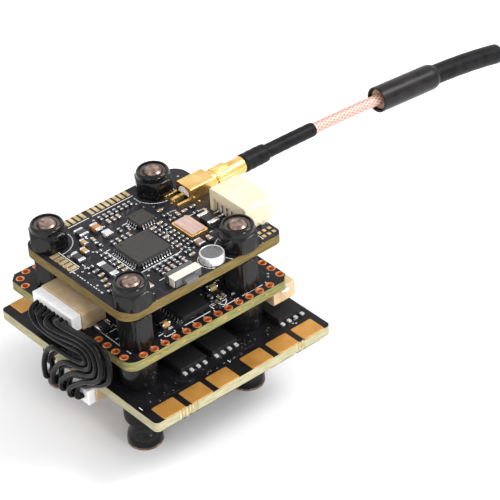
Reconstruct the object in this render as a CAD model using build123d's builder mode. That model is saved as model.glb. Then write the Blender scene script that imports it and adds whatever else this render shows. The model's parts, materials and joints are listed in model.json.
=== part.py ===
"""Three-board flight stack for a small multirotor.

From the bottom up: a four-in-one motor controller, a flight controller and a video transmitter with its
antenna.  Four M3 screws on a 20 mm square hold them together, and an eight-wire harness joins the two lower
boards.  Millimetres, +Z up.  The origin is the centre of the screw pattern, in the plane that the screw
heads stand on, and +Y is the way the antenna points.
"""
from build123d import *
import math
import os

os.makedirs("parts", exist_ok=True)

# ---------------------------------------------------------------- driving dimensions
hole_pitch = 20.0          # square pattern of the four M3 screws
board_thickness = 1.6
screw_radius = 1.45        # M3 thread over its crests
bore_radius = 1.5          # nuts and washers on the screw
clearance_radius = 1.6     # holes in the boards, standoffs and spacers
head_radius, head_height = 2.75, 1.1
washer_height = 2.7        # glossy domed washer on each screw head
rubber_height = 6.1        # soft spacer under the lowest board
middle_gap = 5.4           # motor controller to flight controller
upper_gap = 5.5            # flight controller to video transmitter
nut_across_flats, nut_height = 5.5, 4.0

# Levels of the board faces, worked out from the stack.
esc_bottom = head_height + washer_height + rubber_height
esc_top = esc_bottom + board_thickness
fc_bottom = esc_top + middle_gap
fc_top = fc_bottom + board_thickness
vtx_bottom = fc_top + upper_gap
vtx_top = vtx_bottom + board_thickness
screw_length = vtx_top + nut_height

# Outlines: (low x, high x, low y, high y) of each board.
esc_outline = (-18.3, 19.9, -14.8, 18.8)
fc_outline = (-15.9, 14.0, -14.3, 16.4)
vtx_outline = (-13.2, 12.2, -12.9, 16.85)

BOTTOM = (Align.CENTER, Align.CENTER, Align.MIN)
TOP = (Align.CENTER, Align.CENTER, Align.MAX)
corners = [(sx * hole_pitch / 2, sy * hole_pitch / 2) for sx in (-1, 1) for sy in (-1, 1)]


def middle(outline):
    """Centre of an outline."""
    low_x, high_x, low_y, high_y = outline
    return (low_x + high_x) / 2, (low_y + high_y) / 2


def extent(outline):
    """Width and depth of an outline."""
    low_x, high_x, low_y, high_y = outline
    return high_x - low_x, high_y - low_y


def save(piece, name):
    """Label a finished piece and write it as one STEP file."""
    piece.part.label = name
    export_step(piece.part, f"parts/{name}.step")


# ---------------------------------------------------------------- motor controller board
half_via_radius = 0.22
half_via_ys = [-10.3 + 0.6 * i for i in range(6)] + [12.0 + 0.6 * i for i in range(3)]

with BuildPart() as esc_board:
    with BuildSketch(Plane.XY.offset(esc_bottom)) as esc_face:
        with Locations(middle(esc_outline)):
            Rectangle(*extent(esc_outline))
        fillet(esc_face.vertices(), radius=0.8)
        with Locations(*corners):
            Circle(clearance_radius, mode=Mode.SUBTRACT)
        for edge_x in esc_outline[:2]:
            with Locations(*[(edge_x, y) for y in half_via_ys]):
                Circle(half_via_radius, mode=Mode.SUBTRACT)
    extrude(amount=board_thickness)
save(esc_board, "esc_board")

# Six solder pads for the motor wires on each side, three to a motor, and two for the battery at the back.
pad_height = 0.1
motor_pad_ys = [-11.2, -6.1, -1.1, 5.45, 10.5, 15.5]
motor_pad_width, motor_pad_length = 3.3, 4.05
with BuildPart() as esc_solder_pads:
    for edge_x, inward in ((esc_outline[0], 1), (esc_outline[1], -1)):
        with Locations(*[(edge_x + inward * motor_pad_width / 2, y, esc_top) for y in motor_pad_ys]):
            Box(motor_pad_width, motor_pad_length, pad_height, align=BOTTOM)
    with Locations((-4.1, 16.9, esc_top), (4.1, 16.9, esc_top)):
        Box(6.4, 3.4, pad_height, align=BOTTOM)
save(esc_solder_pads, "esc_solder_pads")

# Twenty-four switching transistors, six to a motor: twelve on each face.
fet_width, fet_length, fet_height = 5.1, 4.8, 1.0
top_fets = [(sx * x + 0.3, y) for sx in (-1, 1) for x, y in ((10.65, -2.6), (10.65, 3.4), (11.75, 15.5))]
inner_fets = [(sx * 3.5 + 0.3, y) for sx in (-1, 1) for y in (-2.6, 3.4, 9.4)]
under_width = 4.6
under_fets = [(x, 2.0 + 5.2 * (i - 2.5)) for x in (-15.3, 16.75) for i in range(6)]
with BuildPart() as esc_transistors:
    with Locations(*[(x, y, esc_top) for x, y in top_fets + inner_fets]):
        Box(fet_width, fet_length, fet_height, align=BOTTOM)
    with Locations(*[(x, y, esc_bottom) for x, y in under_fets]):
        Box(under_width, fet_length, fet_height, align=TOP)
save(esc_transistors, "esc_transistors")

# Four leads stand out of the outer side of each transistor.
fet_lead_reach, fet_lead_width, fet_lead_height, fet_lead_pitch = 0.6, 0.5, 0.25, 1.27
with BuildPart() as esc_transistor_leads:
    for places, width, level, align in ((top_fets + inner_fets, fet_width, esc_top, BOTTOM),
                                        (under_fets, under_width, esc_bottom, TOP)):
        for x, y in places:
            side = 1 if x > 0.8 else -1
            lead_x = x + side * (width + fet_lead_reach) / 2
            with Locations(*[(lead_x, y + fet_lead_pitch * (i - 1.5), level) for i in range(4)]):
                Box(fet_lead_reach, fet_lead_width, fet_lead_height, align=align)
save(esc_transistor_leads, "esc_transistor_leads")

# One driver chip for each motor, with capacitors behind them and on the lower face.
with BuildPart() as esc_small_parts:
    with Locations(*[(-5.25 + 3.5 * i, -8.2, esc_top) for i in range(4)]):
        Box(3.0, 3.0, 0.8, align=BOTTOM)
    with Locations(*[(-6.0 + 2.4 * i, 12.9, esc_top) for i in range(6)]):
        Box(1.6, 0.8, 0.8, align=BOTTOM)
    with Locations(*[(-5.6 + 2.8 * i, y, esc_bottom) for i in range(5) for y in (-6.4, 14.2)]):
        Box(2.0, 1.25, 1.0, align=TOP)
save(esc_small_parts, "esc_small_parts")

# ---------------------------------------------------------------- flight controller board
eyelet_hole_radius, eyelet_ring_radius = 0.5, 0.68
eyelets = [(13.24, 12.8 - 2.0 * i) for i in range(13)]
eyelets += [(5.8 + 2.0 * i, -13.6) for i in range(4)] + [(-14.3, -13.1), (-12.3, -13.6)]
eyelets += [(12.2 - 2.0 * i, 15.7) for i in range(3)]
eyelets += [(-15.2, -11.4 + 2.0 * i) for i in range(4)] + [(-15.2, 6.6 + 2.0 * i) for i in range(4)]

with BuildPart() as fc_board:
    with BuildSketch(Plane.XY.offset(fc_bottom)) as fc_face:
        with Locations(middle(fc_outline)):
            Rectangle(*extent(fc_outline))
        fillet(fc_face.vertices().group_by(Axis.Y)[0].sort_by(Axis.X)[-1], radius=2.0)
        chamfer(fc_face.vertices().group_by(Axis.Y)[0].sort_by(Axis.X)[0], length=1.2)
        chamfer(fc_face.vertices().group_by(Axis.Y)[-1].sort_by(Axis.X)[-1], length=1.4)
        fillet(fc_face.vertices().group_by(Axis.Y)[-1].sort_by(Axis.X)[0], radius=2.0)
        with Locations(*corners):
            Circle(clearance_radius, mode=Mode.SUBTRACT)
        with Locations(*eyelets):
            Circle(eyelet_hole_radius, mode=Mode.SUBTRACT)
    extrude(amount=board_thickness)
save(fc_board, "fc_board")

# Plated wire holes: a barrel in the hole with a ring on the upper face.
barrel_wall, ring_height = 0.08, 0.07
with BuildPart() as fc_eyelets:
    with BuildSketch(Plane.XY.offset(fc_top)):
        with Locations(*eyelets):
            Circle(eyelet_ring_radius)
    extrude(amount=ring_height)
    with BuildSketch(Plane.XY.offset(fc_bottom)):
        with Locations(*eyelets):
            Circle(eyelet_hole_radius)
    extrude(amount=board_thickness)
    with BuildSketch(Plane.XY.offset(fc_bottom)):
        with Locations(*eyelets):
            Circle(eyelet_hole_radius - barrel_wall)
    extrude(amount=board_thickness + ring_height, mode=Mode.SUBTRACT)
save(fc_eyelets, "fc_eyelets")

# ---------------------------------------------------------------- video transmitter board
antenna_x, antenna_z = -5.45, vtx_top + 0.5
jack_half_width, jack_front, jack_back = 1.8, 17.0, 12.2
with BuildPart() as vtx_board:
    with BuildSketch(Plane.XY.offset(vtx_bottom)) as vtx_face:
        with Locations(middle(vtx_outline)):
            Rectangle(*extent(vtx_outline))
        by_corner = vtx_face.vertices().group_by(Axis.Y)
        fillet(by_corner[0], radius=2.6)
        fillet(vtx_face.vertices().group_by(Axis.Y)[-1].sort_by(Axis.X)[0], radius=2.6)
        fillet(vtx_face.vertices().group_by(Axis.Y)[-1].sort_by(Axis.X)[-1], radius=1.5)
        with Locations(*corners):
            Circle(clearance_radius, mode=Mode.SUBTRACT)
        with Locations((antenna_x, vtx_outline[3])):
            Rectangle(2 * jack_half_width + 0.1, 2 * (vtx_outline[3] - jack_back), mode=Mode.SUBTRACT)
    extrude(amount=board_thickness)
save(vtx_board, "vtx_board")

with BuildPart() as vtx_solder_pads:
    with Locations(*[(-12.3, 6.3 - 0.98 * i, vtx_top) for i in range(8)]):
        Box(1.6, 0.62, pad_height, align=BOTTOM)
    with Locations(*[(-12.3, -2.1 - 0.98 * i, vtx_top) for i in range(4)]):
        Box(1.6, 0.62, pad_height, align=BOTTOM)
    with Locations(*[(-6.8 + 1.05 * i, -11.3, vtx_top) for i in range(5)]):
        Box(0.8, 1.5, pad_height, align=BOTTOM)
    with Locations(*[(x, 14.1 + 0.95 * i, vtx_top) for x in (9.9, 11.0) for i in range(3)]):
        Box(0.6, 0.55, pad_height, align=BOTTOM)
save(vtx_solder_pads, "vtx_solder_pads")

# ---------------------------------------------------------------- chips and their leads
fine_pitch, lead_reach = 0.5, 0.65


def gull_wing(width, hip):
    """A lead bent down from a chip's side at x = 0 to a foot on the board, which is z = 0."""
    with BuildPart() as lead:
        with BuildSketch(Plane.XZ) as profile:
            with BuildLine():
                Polyline((0, hip), (0, hip + 0.12), (0.2, hip + 0.12), (0.36, 0.12), (lead_reach, 0.12),
                         (lead_reach, 0), (0.26, 0), (0.1, hip), (0, hip))
            make_face()
        extrude(amount=width / 2, both=True)
    return lead.part


def lead_places(centre, size, level, counts, pitch=fine_pitch):
    """Places of the leads round a chip: counts are for its +X, +Y, -X and -Y sides."""
    places = []
    for side, count in enumerate(counts):
        reach = size[side % 2] / 2
        for i in range(count):
            along = pitch * (i - (count - 1) / 2)
            turn = math.radians(90 * side)
            x = centre[0] + reach * math.cos(turn) - along * math.sin(turn)
            y = centre[1] + reach * math.sin(turn) + along * math.cos(turn)
            places.append(Location((x, y, level), (0, 0, 90 * side)))
    return places


video_chip_at, video_chip_size = (1.35, -1.15), (6.0, 6.3)
radio_chip_at, radio_chip_size = (-4.95, 3.5), (3.1, 3.1)
processor_at, processor_size = (-3.2, 1.6), (7.0, 7.0)
display_chip_at, display_chip_size = (9.0, 0.1), (5.2, 5.0)
chip_lift = 0.1


def chip_body(at, size, level, height):
    """A moulded body with sides that lean in above and below the leads and a dimple at its first lead."""
    hip = level + chip_lift + height / 2
    with BuildSketch(Plane.XY.offset(hip)) as outline:
        with Locations(at):
            Rectangle(*size)
    for direction in (-1, 1):
        extrude(outline.sketch, amount=height / 2, dir=(0, 0, direction), taper=8)
    with Locations((at[0] - size[0] / 2 + 0.75, at[1] - size[1] / 2 + 0.75, level + chip_lift + height)):
        Cylinder(0.3, 0.1, align=TOP, mode=Mode.SUBTRACT)


with BuildPart() as vtx_video_chip:
    chip_body(video_chip_at, video_chip_size, vtx_top, 1.0)
save(vtx_video_chip, "vtx_video_chip")

with BuildPart() as vtx_radio_chip:
    chip_body(radio_chip_at, radio_chip_size, vtx_top, 0.8)
save(vtx_radio_chip, "vtx_radio_chip")

lead = gull_wing(0.22, 0.54)
short_lead = gull_wing(0.22, 0.44)
with BuildPart() as vtx_chip_leads:
    with Locations(*lead_places(video_chip_at, video_chip_size, vtx_top, (11, 11, 11, 11))):
        add(lead)
    with Locations(*lead_places(radio_chip_at, radio_chip_size, vtx_top, (5, 5, 5, 5))):
        add(short_lead)
save(vtx_chip_leads, "vtx_chip_leads")

with BuildPart() as fc_processor:
    chip_body(processor_at, processor_size, fc_top, 1.0)
save(fc_processor, "fc_processor")

with BuildPart() as fc_display_chip:
    chip_body(display_chip_at, display_chip_size, fc_top, 1.0)
save(fc_display_chip, "fc_display_chip")

with BuildPart() as fc_chip_leads:
    with Locations(*lead_places(processor_at, processor_size, fc_top, (12, 12, 12, 12))):
        add(lead)
    with Locations(*lead_places(display_chip_at, display_chip_size, fc_top, (0, 8, 0, 8), 0.65)):
        add(lead)
save(fc_chip_leads, "fc_chip_leads")

# ---------------------------------------------------------------- small surface-mounted parts
cap_long, cap_short, cap_height = 1.0, 0.5, 0.45


def chip_parts(centres, level, turn, size=(cap_long, cap_short, cap_height)):
    """A small two-terminal part at each centre, its length along X, or along Y for a turn of 90."""
    with Locations(*[Location((x, y, level), (0, 0, turn)) for x, y in centres]):
        Box(*size, align=BOTTOM)


with BuildPart() as vtx_small_parts:
    chip_parts([(-1.9 + 1.02 * i, 3.35) for i in range(10)], vtx_top, 90)
    chip_parts([(-2.3 + 1.02 * i, 4.9) for i in range(8)], vtx_top, 90)
    chip_parts([(-2.9 + 1.04 * i, -6.1) for i in range(7)], vtx_top, 90)
    chip_parts([(x, 1.6 - 1.06 * i) for x in (6.35, 7.75) for i in range(5)], vtx_top, 0)
    chip_parts([(-3.1, -0.2 - 1.0 * i) for i in range(4)], vtx_top, 0)
    chip_parts([(-9.5, 5.0 - 0.95 * i) for i in range(7)], vtx_top, 0)
    chip_parts([(-8.0, 1.6 - 0.95 * i) for i in range(3)], vtx_top, 0)
    chip_parts([(-4.9, 7.0), (-3.3, 6.9), (-1.8, 6.9), (-2.2, 9.6), (-0.6, 10.6), (-2.2, 11.2)], vtx_top, 90)
    chip_parts([(-5.9, -4.8), (-4.4, -4.9), (-5.2, 0.9), (-5.0, -0.5), (-2.2, 8.4)], vtx_top, 0)
    chip_parts([(-0.6, -9.4), (0.7, -9.4), (2.0, -9.4), (3.3, -9.9), (4.6, -10.3), (5.9, -10.7)], vtx_top, 90)
save(vtx_small_parts, "vtx_small_parts")

# Larger parts: tantalum and ceramic capacitors, coils and regulators, each as (x, y, length, width, height).
vtx_blocks = [(-7.6, -2.9, 1.9, 1.3, 1.0), (-5.5, -2.4, 1.5, 1.4, 0.7), (-8.3, -5.2, 1.9, 1.6, 0.8),
              (-6.1, -6.4, 1.5, 0.8, 0.7), (-4.3, -7.6, 1.6, 0.9, 0.7), (2.3, 10.6, 3.2, 2.0, 1.0),
              (1.7, -7.9, 4.0, 1.3, 0.7), (-3.9, -9.2, 2.6, 1.2, 0.6), (5.9, 6.0, 1.6, 1.2, 0.7),
              (6.0, 7.8, 1.1, 0.7, 0.6), (9.0, -6.1, 1.6, 0.9, 0.7)]
with BuildPart() as vtx_power_parts:
    for x, y, length, width, height in vtx_blocks:
        with Locations((x, y, vtx_top)):
            Box(length, width, height, align=BOTTOM)
save(vtx_power_parts, "vtx_power_parts")

with BuildPart() as fc_small_parts:
    chip_parts([(10.6, 5.2 + 0.85 * i) for i in range(2)] + [(9.6, 4.3), (11.4, 4.3)], fc_top, 0)
    chip_parts([(4.6 + 1.0 * i, -7.6) for i in range(2)] + [(5.0, 6.2), (6.2, 6.2)], fc_top, 90)
    chip_parts([(-6.9 + 1.2 * i, -7.6) for i in range(6)], fc_top, 90)
    chip_parts([(-8.8 + 1.3 * i, 7.4) for i in range(2, 9)], fc_top, 90)
    chip_parts([(8.2, 5.9)], fc_top, 90, (1.9, 0.9, 0.8))
    chip_parts([(10.3, -4.8)], fc_top, 90, (1.5, 0.9, 0.9))
    chip_parts([(4.4, -11.6)], fc_top, 90, (2.4, 1.6, 0.9))
    chip_parts([(-2.0, 11.6)], fc_top, 0, (3.0, 2.5, 0.9))
save(fc_small_parts, "fc_small_parts")

# The transmitter's crystal: a plated base with a welded lid.
crystal_at = (1.75, 7.45)
with BuildPart() as crystal_base:
    with BuildSketch(Plane.XY.offset(vtx_top)):
        with Locations(crystal_at):
            RectangleRounded(5.0, 3.2, 0.35)
    extrude(amount=0.6)
save(crystal_base, "crystal_base")

with BuildPart() as crystal_lid:
    with BuildSketch(Plane.XY.offset(vtx_top + 0.6)):
        with Locations(crystal_at):
            RectangleRounded(4.5, 2.7, 0.4)
    extrude(amount=0.2)
    fillet(crystal_lid.edges().group_by(Axis.Z)[-1], radius=0.08)
save(crystal_lid, "crystal_lid")

# ---------------------------------------------------------------- microphone
microphone_at, microphone_radius, microphone_height = (10.1, 4.85), 1.9, 1.45
with BuildPart() as microphone_can:
    with Locations((*microphone_at, vtx_top)):
        Cylinder(microphone_radius, microphone_height, align=BOTTOM)
    fillet(microphone_can.edges().group_by(Axis.Z)[-1], radius=0.2)
    with Locations((*microphone_at, vtx_top + microphone_height)):
        Cylinder(1.65, 0.12, align=TOP, mode=Mode.SUBTRACT)
save(microphone_can, "microphone_can")

with BuildPart() as microphone_felt:
    with Locations((*microphone_at, vtx_top + microphone_height - 0.12)):
        Cylinder(1.65, 0.1, align=BOTTOM)
save(microphone_felt, "microphone_felt")

# ---------------------------------------------------------------- channel switch: a button pressed towards -X
switch_back, switch_front = 9.3, 11.9
switch_low_y, switch_high_y = -3.4, 1.4
switch_y = (switch_low_y + switch_high_y) / 2
switch_height = 1.3
stem_half_width, stem_low, stem_high = 1.1, 0.35, 0.95
running_gap = 0.06
with BuildPart() as switch_housing:
    with Locations(((switch_back + switch_front) / 2, switch_y, vtx_top)):
        Box(switch_front - switch_back, switch_high_y - switch_low_y, switch_height, align=BOTTOM)
    stem_middle = vtx_top + (stem_low + stem_high) / 2
    stem_height = stem_high - stem_low
    with Locations(((10.2 + switch_front) / 2, switch_y, stem_middle)):
        Box(switch_front - 10.2, 2 * (stem_half_width + running_gap), stem_height + 2 * running_gap,
            mode=Mode.SUBTRACT)
    with Locations((10.65, switch_y, stem_middle)):
        Box(0.9, 3.6, stem_height + 2 * running_gap, mode=Mode.SUBTRACT)
save(switch_housing, "switch_housing")

with BuildPart() as switch_button:
    with Locations(((10.6 + 12.9) / 2, switch_y, stem_middle)):
        Box(12.9 - 10.6, 2 * stem_half_width, stem_height)
    with Locations((10.8, switch_y, stem_middle)):
        Box(0.4, 3.4, stem_height)
save(switch_button, "switch_button")

# A bent steel cover clips over the housing and is soldered down at both ends.
cover_thickness = 0.15
with BuildPart() as switch_cover:
    with Locations((11.1, switch_y, vtx_top + switch_height)):
        Box(1.5, switch_high_y - switch_low_y + 2 * cover_thickness, cover_thickness, align=BOTTOM)
    for y in (switch_low_y - cover_thickness / 2, switch_high_y + cover_thickness / 2):
        with Locations((11.1, y, vtx_top)):
            Box(1.1, cover_thickness, switch_height, align=BOTTOM)
save(switch_cover, "switch_cover")

# ---------------------------------------------------------------- antenna jack on the edge of the transmitter
jack_bore_radius, jack_height = 1.3, 3.2
insulator_front = 13.4
snap_y = 15.2
antenna_axis = Plane(origin=(antenna_x, 0, antenna_z), x_dir=(1, 0, 0), z_dir=(0, 1, 0))
leg_spacing, leg_width, leg_tip = 1.57, 0.4, 9.7
contact_radius = 0.3

with BuildPart() as jack_body:
    with Locations((antenna_x, (jack_back + jack_front) / 2, antenna_z)):
        Box(2 * jack_half_width, jack_front - jack_back, jack_height)
    fillet(jack_body.edges().filter_by(Axis.Y), radius=0.3)
    with BuildSketch(antenna_axis.offset(jack_back)):
        Circle(jack_bore_radius)
    extrude(amount=jack_front - jack_back, mode=Mode.SUBTRACT)
    for side in (-1, 1):
        with Locations((antenna_x + side * leg_spacing, (leg_tip + jack_back) / 2, vtx_top)):
            Box(leg_width, jack_back - leg_tip, 0.5, align=BOTTOM)
save(jack_body, "jack_body")

with BuildPart() as jack_insulator:
    with BuildSketch(antenna_axis.offset(jack_back)):
        Circle(jack_bore_radius)
        Circle(contact_radius, mode=Mode.SUBTRACT)
    extrude(amount=insulator_front - jack_back)
save(jack_insulator, "jack_insulator")

with BuildPart() as jack_contact:
    with BuildSketch(antenna_axis.offset(jack_back)):
        Circle(contact_radius)
    extrude(amount=3.6)
    with Locations((antenna_x, (leg_tip + jack_back) / 2, vtx_top)):
        Box(2 * contact_radius, jack_back - leg_tip, 0.7, align=BOTTOM)
save(jack_contact, "jack_contact")

# ---------------------------------------------------------------- antenna: plug, lead and radiating end
plug_nose, nose_radius, snap_groove_radius, snap_width = 13.6, 1.0, 0.84, 0.5
flange_start, knurl_start, collar_start, collar_end = 17.05, 17.8, 20.6, 23.7
coax_radius = 0.9
bend_radius = 400.0        # the lead droops very slightly


def round_on_axis(start, end, outer):
    """A cylinder on the antenna's axis between two places along +Y."""
    with BuildSketch(antenna_axis.offset(start)) as disc:
        Circle(outer)
    extrude(disc.sketch, amount=end - start)


# The split ring snaps into the jack and lets the plug turn inside it.
ring_start, ring_end = snap_y - snap_width / 2, snap_y + snap_width / 2
with BuildPart() as antenna_snap_ring:
    with BuildSketch(antenna_axis.offset(ring_start)):
        Circle(jack_bore_radius - running_gap)
        Circle(snap_groove_radius + running_gap, mode=Mode.SUBTRACT)
        with Locations((0, -1.1)):
            Rectangle(0.7, 1.0, mode=Mode.SUBTRACT)
    extrude(amount=snap_width)
save(antenna_snap_ring, "antenna_snap_ring")

with BuildPart() as antenna_plug:
    round_on_axis(plug_nose, collar_end, nose_radius)
    round_on_axis(flange_start, knurl_start, 1.6)
    round_on_axis(knurl_start, collar_start, 1.7)
    round_on_axis(collar_start, collar_end, 1.4)
    with BuildSketch(antenna_axis.offset(ring_start - running_gap)):
        Circle(nose_radius + 0.2)
        Circle(snap_groove_radius, mode=Mode.SUBTRACT)
    extrude(amount=snap_width + 2 * running_gap, mode=Mode.SUBTRACT)
    with BuildSketch(antenna_axis.offset(plug_nose)):
        Circle(contact_radius + running_gap)
    extrude(amount=2.4, mode=Mode.SUBTRACT)
    with BuildSketch(antenna_axis.offset(collar_start)):
        Circle(coax_radius)
    extrude(amount=collar_end - collar_start, mode=Mode.SUBTRACT)
    with BuildSketch(antenna_axis.offset(knurl_start + 0.4)):
        with PolarLocations(1.72, 20):
            Rectangle(0.14, 0.14, rotation=45)
    extrude(amount=collar_start - knurl_start - 0.8, mode=Mode.SUBTRACT)
save(antenna_plug, "antenna_plug")

# The lead's line lies in the plane of its droop: straight out of the plug, then one gentle arc.
side_plane = Plane.YZ.offset(antenna_x)
thick_length, thin_length, bare_length, hidden_length = 4.8, 9.9, 13.6, 4.0


def on_droop(length):
    """Place and heading on the drooping arc at a length from the plug's collar."""
    turn = length / bend_radius
    return ((collar_end + bend_radius * math.sin(turn), antenna_z - bend_radius * (1 - math.cos(turn))),
            (math.cos(turn), -math.sin(turn)))


def droop_arc(start, length):
    """The piece of the drooping arc that starts at one length and runs for another."""
    place, heading = on_droop(start)
    return JernArc(place, heading, bend_radius, -math.degrees(length / bend_radius))


def across(edge):
    """The plane across an edge at its start."""
    return Plane(origin=edge @ 0, z_dir=edge % 0)


sleeve_from = thick_length + thin_length + bare_length
sleeve_start, heading = on_droop(sleeve_from)
with BuildPart() as antenna_coax:
    with BuildLine(side_plane) as coax_line:
        Line((collar_start, antenna_z), (collar_end, antenna_z))
        droop_arc(0, sleeve_from)
        Line(sleeve_start, (sleeve_start[0] + hidden_length * heading[0],
                            sleeve_start[1] + hidden_length * heading[1]))
    with BuildSketch(antenna_axis.offset(collar_start)):
        Circle(coax_radius)
    sweep(path=coax_line.wire())
save(antenna_coax, "antenna_coax")

with BuildPart() as antenna_heat_shrink:
    for start, length, outer in ((0, thick_length, 1.5), (thick_length, thin_length, 1.15)):
        with BuildLine(side_plane) as shrink_line:
            droop_arc(start, length)
        with BuildSketch(across(shrink_line.wire())):
            Circle(outer)
            Circle(coax_radius, mode=Mode.SUBTRACT)
        sweep(path=shrink_line.wire())
save(antenna_heat_shrink, "antenna_heat_shrink")

sleeve_length, sleeve_radius, sleeve_bore = 12.6, 2.15, 1.8
core_inset, core_end, core_radius, core_tip_radius = 0.5, 12.0, 1.74, 1.3
tip_length, tip_bend_radius, tip_radius, tip_bore = 15.4, 110.0, 1.65, 1.35
sleeve_plane = Plane(origin=(antenna_x, *sleeve_start), x_dir=(1, 0, 0), z_dir=(0, *heading))
with BuildPart() as antenna_sleeve:
    with BuildSketch(sleeve_plane):
        Circle(sleeve_radius)
        Circle(sleeve_bore, mode=Mode.SUBTRACT)
    extrude(amount=sleeve_length)
save(antenna_sleeve, "antenna_sleeve")

tip_start = (sleeve_start[0] + core_end * heading[0], sleeve_start[1] + core_end * heading[1])
with BuildPart() as antenna_core:
    with BuildSketch(sleeve_plane.offset(core_inset)):
        Circle(core_radius)
    extrude(amount=core_end - core_inset)
    with BuildSketch(sleeve_plane):
        Circle(coax_radius)
    extrude(amount=hidden_length, mode=Mode.SUBTRACT)
    with BuildLine(side_plane) as core_line:
        JernArc(tip_start, heading, tip_bend_radius, -math.degrees((tip_length - 0.4) / tip_bend_radius))
    with BuildSketch(sleeve_plane.offset(core_end)):
        Circle(core_tip_radius)
    sweep(path=core_line.wire())
save(antenna_core, "antenna_core")

with BuildPart() as antenna_tip:
    with BuildLine(side_plane) as tip_line:
        JernArc(tip_start, heading, tip_bend_radius, -math.degrees(tip_length / tip_bend_radius))
    with BuildSketch(sleeve_plane.offset(core_end)):
        Circle(tip_radius)
        Circle(tip_bore, mode=Mode.SUBTRACT)
    sweep(path=tip_line.wire())
save(antenna_tip, "antenna_tip")

# ---------------------------------------------------------------- side-entry connectors
# Each is made at the origin: the mating face looks towards -Y and the board is z = 0.
wall, mouth_margin = 0.8, 0.95
header_height, header_depth, mouth_depth = 2.95, 4.25, 3.2
camera_height, camera_depth, camera_mouth = 4.0, 5.4, 3.6
FRONT_FOOT = (Align.CENTER, Align.MIN, Align.MIN)
FRONT_MIDDLE = (Align.CENTER, Align.MIN, Align.CENTER)


def header_shell(width, depth, height, mouth):
    """A moulded shell, open at its mating face, with a step cut under its back edge."""
    with BuildPart() as shell:
        Box(width, depth, height, align=FRONT_FOOT)
        chamfer(shell.edges().filter_by(Axis.Y).group_by(Axis.Z)[-1], length=0.25)
        with Locations((0, 0, height / 2 + 0.05)):
            Box(width - 2 * wall, mouth, height - mouth_margin, align=FRONT_MIDDLE, mode=Mode.SUBTRACT)
        with Locations((0, depth - 0.5, 0)):
            Box(width - 2 * wall, 0.5, 0.6 * height, align=FRONT_FOOT, mode=Mode.SUBTRACT)
    return shell.part


def header_pins(width, depth, height, mouth, count, pitch, anchor_y):
    """Pins inside the mouth, their soldered tails behind it and an anchor tab at each end."""
    with BuildPart() as pins:
        with Locations(*[(pitch * (i - (count - 1) / 2), 1.3, height / 2 + 0.05) for i in range(count)]):
            Box(0.3, mouth - 1.3, 0.3, align=FRONT_MIDDLE)
        with Locations(*[(pitch * (i - (count - 1) / 2), depth - 0.5, 0) for i in range(count)]):
            Box(0.35, 0.95, 0.2, align=FRONT_FOOT)
            Box(0.35, 0.2, 0.45 * height, align=FRONT_FOOT)
        for side in (-1, 1):
            with Locations((side * (width / 2 + 0.35), anchor_y, 0)):
                Box(0.7, 1.4, 0.6, align=FRONT_FOOT)
    return pins.part


harness_pins, harness_pitch, harness_width = 8, 1.0, 10.0
rear_pins, rear_width = 4, 6.0
camera_pins, camera_pitch, camera_width = 6, 1.12, 8.4
upper_header_x, upper_face_y = -2.45, -13.9
lower_header_x, lower_face_y = 0.4, esc_outline[2]
upper_header_at = Location((upper_header_x, upper_face_y, fc_top))
lower_header_at = Location((lower_header_x, lower_face_y, esc_bottom), (0, 180, 0))
rear_header_at = Location((10.2, 17.75, fc_bottom), (180, 0, 0))
camera_at = Location((4.2, 18.3, vtx_top), (0, 0, 180))

harness_shell = header_shell(harness_width, header_depth, header_height, mouth_depth)
with BuildPart() as harness_headers:
    with Locations(upper_header_at, lower_header_at):
        add(harness_shell)
save(harness_headers, "harness_headers")

rear_shell = header_shell(rear_width, header_depth, header_height, mouth_depth)
with BuildPart() as rear_header:
    with Locations(rear_header_at):
        add(rear_shell)
save(rear_header, "rear_header")

camera_shell = header_shell(camera_width, camera_depth, camera_height, camera_mouth)
with BuildPart() as camera_header:
    with Locations(camera_at):
        add(camera_shell)
save(camera_header, "camera_header")

harness_pin_set = header_pins(harness_width, header_depth, header_height, mouth_depth, harness_pins,
                              harness_pitch, 0.55)
rear_pin_set = header_pins(rear_width, header_depth, header_height, mouth_depth, rear_pins, harness_pitch, 1.8)
camera_pin_set = header_pins(camera_width, camera_depth, camera_height, camera_mouth, camera_pins,
                             camera_pitch, 1.6)
with BuildPart() as header_contacts:
    with Locations(upper_header_at, lower_header_at):
        add(harness_pin_set)
    with Locations(rear_header_at):
        add(rear_pin_set)
    with Locations(camera_at):
        add(camera_pin_set)
save(header_contacts, "header_contacts")


def harness_plug(back):
    """The plug that fits a harness header: a tongue in its mouth and a wider back outside it."""
    level = header_height / 2 + 0.05
    with BuildPart() as plug:
        with Locations((0, -0.05, level)):
            Box(harness_width - 2 * wall - 0.1, mouth_depth - 0.25, header_height - mouth_margin - 0.1,
                align=FRONT_MIDDLE)
            Box(harness_width - 0.4, back - 0.05, header_height - 0.35,
                align=(Align.CENTER, Align.MAX, Align.CENTER))
        with Locations(*[(harness_pitch * (i - 3.5), 1.1, level) for i in range(harness_pins)]):
            Box(0.42, mouth_depth, 0.42, align=FRONT_MIDDLE, mode=Mode.SUBTRACT)
    return plug.part


upper_back, lower_back = 1.8, 1.4
upper_plug_part, lower_plug_part = harness_plug(upper_back), harness_plug(lower_back)
with BuildPart() as upper_plug:
    with Locations(upper_header_at):
        add(upper_plug_part)
save(upper_plug, "upper_plug")

with BuildPart() as lower_plug:
    with Locations(lower_header_at):
        add(lower_plug_part)
save(lower_plug, "lower_plug")

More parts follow.
